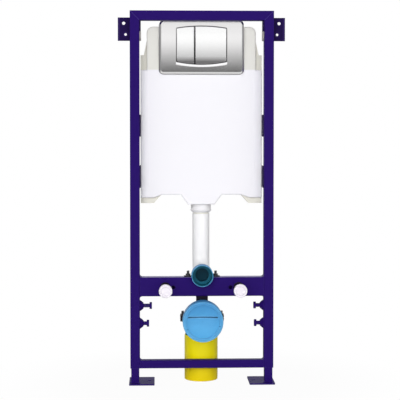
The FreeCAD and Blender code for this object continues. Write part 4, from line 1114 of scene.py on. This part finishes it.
@dataclass
class Studio:
    """The floor, the world, the lamps and the camera."""

    KEY = Lamp("key_lamp", (-1.0, -5.2, 2.0), aim=0.5, size=3.2, spread=180.0, power=138.0)
    FILL = Lamp("fill_lamp", (1.3, -5.2, 0.8), aim=0.5, size=3.2, spread=180.0, power=72.0)
    FOOT = Lamp("foot_lamp", (-0.6, -2.5, 0.22), aim=0.08, size=0.8, spread=30.0, power=0.3)

    camera_distance: float = 3.98
    camera_height: float = 0.801
    camera_turn: float = 2.066
    focal_pixels: float = 1273.9
    image_pixels: float = 400.0
    horizon_pixel: float = 129.14
    centre_pixel: float = 202.02
    tall_shift: float = -0.055
    sensor_width: float = 36.0
    world_light: float = 0.31
    world_white: float = 1.0
    floor_span: float = 12.0
    floor_white: float = 0.955
    floor_tone: float = 0.94
    floor_rough: float = 0.8
    shadow_reach: float = 0.7
    fade_low: float = 0.4
    fade_high: float = 1.14
    dim_low: float = 1.25
    dim_high: float = 1.5

    def build(self) -> None:
        """Set up everything around the object."""
        self.set_view()
        self.light_world()
        self.lay_floor()
        self.hang_lamps()
        self.hang_cards()
        self.aim_camera()

    @staticmethod
    def set_view() -> None:
        """Show colours plainly."""
        bpy.context.scene.view_settings.view_transform = "Standard"

    def light_world(self) -> None:
        """Light softly from all round, and show white behind the object."""
        world = bpy.data.worlds.new("studio_world")
        world.use_nodes = True
        bpy.context.scene.world = world
        tree = Tree(world.node_tree)
        path = tree.add("LightPath")
        seen = tree.add("Math", {0: path.outputs["Is Camera Ray"], 1: path.outputs["Is Glossy Ray"]},
                        operation="MAXIMUM")
        clear = tree.add("Math", {0: seen.outputs[0], 1: path.outputs["Is Transmission Ray"]},
                         operation="MAXIMUM")
        strength = tree.add("MapRange", {"Value": clear.outputs[0], "To Min": self.world_light,
                                         "To Max": self.world_white})
        backdrop = world.node_tree.nodes["Background"]
        backdrop.inputs["Color"].default_value = (1.0, 1.0, 1.0, 1.0)
        world.node_tree.links.new(strength.outputs[0], backdrop.inputs["Strength"])

    def lay_floor(self) -> None:
        """Lay a pale floor that reads as white and keeps a soft shadow."""
        mesh = bmesh.new()
        bmesh.ops.create_grid(mesh, x_segments=1, y_segments=1, size=self.floor_span)
        data = bpy.data.meshes.new("studio_floor")
        mesh.to_mesh(data)
        mesh.free()
        floor = bpy.data.objects.new("studio_floor", data)
        bpy.context.scene.collection.objects.link(floor)
        made = bpy.data.materials.new("pale_floor")
        made.use_nodes = True
        tree = Tree(made.node_tree)
        shader = made.node_tree.nodes["Principled BSDF"]
        shader.inputs["Base Color"].default_value = (self.floor_tone, self.floor_tone, self.floor_tone, 1.0)
        shader.inputs["Roughness"].default_value = self.floor_rough
        shader.inputs["Specular IOR Level"].default_value = 0.0
        path = tree.add("LightPath")
        where = tree.add("TexCoord")
        away = tree.add("VectorMath", {0: where.outputs["Object"]}, operation="LENGTH")
        white = tree.add("MapRange", {"Value": away.outputs["Value"], "From Min": self.shadow_reach / 2,
                                      "From Max": self.shadow_reach, "To Min": self.floor_white,
                                      "To Max": 1.0})
        share = tree.add("Math", {0: path.outputs["Is Camera Ray"], 1: white.outputs["Result"]},
                         operation="MULTIPLY")
        glow = tree.add("Emission", {"Color": (1.0, 1.0, 1.0, 1.0), "Strength": 1.0})
        mixed = tree.add("MixShader", {0: share.outputs[0], 1: shader.outputs[0], 2: glow.outputs[0]})
        made.node_tree.links.new(mixed.outputs[0], made.node_tree.nodes["Material Output"].inputs["Surface"])
        data.materials.append(made)

    def hang_lamps(self) -> None:
        """Hang a broad key lamp at the left, a weaker fill at the right and a small lamp low down."""
        for lamp in (self.KEY, self.FILL, self.FOOT):
            lamp.hang()

    def hang_cards(self) -> None:
        """Hang cards, seen only in reflections, that shape the bright metal."""
        fade = self.card_material("graded_card", low=0.1, high=1.08, top=0.7)
        dark = self.card_material("dark_card", low=0.3, high=0.36, top=0.36)
        bright = self.card_material("bright_strip", low=6.0, high=6.0, top=6.0)
        pale = self.card_material("floor_card", low=0.8, high=0.8, top=0.8)
        self.card("front_card", fade, Vector((0.0, -2.5, 0.75)), (1.3, 0.75), FORWARD)
        self.card("floor_card", pale, Vector((0.0, -0.75, 0.01)), (1.0, 0.6), UPRIGHT)
        self.card("left_card", dark, Vector((-2.4, -1.6, 1.1)), (0.6, 1.2), self.turned(-50.0))
        self.card("right_card", dark, Vector((2.4, -1.6, 1.1)), (0.6, 1.2), self.turned(50.0))
        self.card("right_strip", bright, Vector((1.9, -2.3, 0.5)), (0.12, 0.5), self.turned(40.0))

    @staticmethod
    def turned(degrees: float) -> Matrix:
        """The way an upright card faces when it is turned about the upright."""
        return Matrix.Rotation(math.radians(degrees), 4, "Z") @ FORWARD

    def card_material(self, name: str, low: float, high: float, top: float) -> bpy.types.Material:
        """Make a card's material, which brightens going up and may darken again near its top.

        Args:
            name: The material's name.
            low: Its brightness up to where the fade starts.
            high: Its brightness where the fade ends.
            top: Its brightness at the top.

        Returns:
            The material.
        """
        made = bpy.data.materials.new(name)
        made.use_nodes = True
        tree = Tree(made.node_tree)
        where = tree.add("TexCoord")
        parts = tree.add("SeparateXYZ", {0: where.outputs["Object"]})
        level = tree.add("MapRange", {"Value": parts.outputs["Z"], "From Min": self.fade_low,
                                      "From Max": self.fade_high, "To Min": low, "To Max": high})
        dimmed = tree.add("MapRange", {"Value": parts.outputs["Z"], "From Min": self.dim_low,
                                       "From Max": self.dim_high, "To Min": high, "To Max": top})
        least = tree.add("Math", {0: level.outputs["Result"], 1: dimmed.outputs["Result"]},
                         operation="MINIMUM")
        glow = tree.add("Emission", {"Strength": least.outputs[0]})
        made.node_tree.links.new(glow.outputs[0], made.node_tree.nodes["Material Output"].inputs["Surface"])
        return made

    @staticmethod
    def card(name: str, material: bpy.types.Material, place: Vector, half: tuple[float, float],
             facing: Matrix) -> None:
        """Hang one card.

        Args:
            name: The card's name.
            material: Its material.
            place: Its middle.
            half: Half its width and half its height.
            facing: The way it faces.
        """
        mesh = bmesh.new()
        bmesh.ops.create_grid(mesh, x_segments=1, y_segments=1, size=1.0)
        bmesh.ops.transform(mesh, verts=mesh.verts,
                            matrix=Matrix.Translation(place) @ facing @ Matrix.Diagonal((*half, 1, 1)))
        data = bpy.data.meshes.new(name)
        mesh.to_mesh(data)
        mesh.free()
        data.materials.append(material)
        hung = bpy.data.objects.new(name, data)
        bpy.context.scene.collection.objects.link(hung)
        hung.visible_camera = False
        hung.visible_diffuse = False
        hung.visible_shadow = False
        hung.visible_transmission = False

    def aim_camera(self) -> None:
        """Put the camera where the photograph was taken from."""
        data = bpy.data.cameras.new("photo_camera")
        data.sensor_width = self.sensor_width
        data.lens = self.focal_pixels / self.image_pixels * data.sensor_width
        half = self.image_pixels / 2
        data.shift_x = (half - self.centre_pixel) / self.image_pixels
        data.shift_y = self.tall_shift
        drop = half - self.horizon_pixel + self.tall_shift * self.image_pixels
        camera = bpy.data.objects.new("photo_camera", data)
        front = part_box("left_post")[0].y
        turn = math.radians(self.camera_turn)
        camera.location = (-self.camera_distance * math.sin(turn),
                           front - self.camera_distance * math.cos(turn), self.camera_height)
        camera.rotation_euler = (math.radians(90) - math.atan2(drop, self.focal_pixels), 0.0, -turn)
        bpy.context.scene.collection.objects.link(camera)
        bpy.context.scene.camera = camera


def main() -> None:
    """Dress the frame from the tubes outwards, then light it."""
    logging.basicConfig(level=logging.INFO, format="%(message)s")
    finishes = Finishes(Effects())
    for assembly in (WeldedFrame, WallBrackets, Legs, Cistern, FlushPlate, FlushPipe, Drain, BowlStuds):
        assembly(finishes).build()
    Studio().build()


if __name__ == "__main__":
    main()
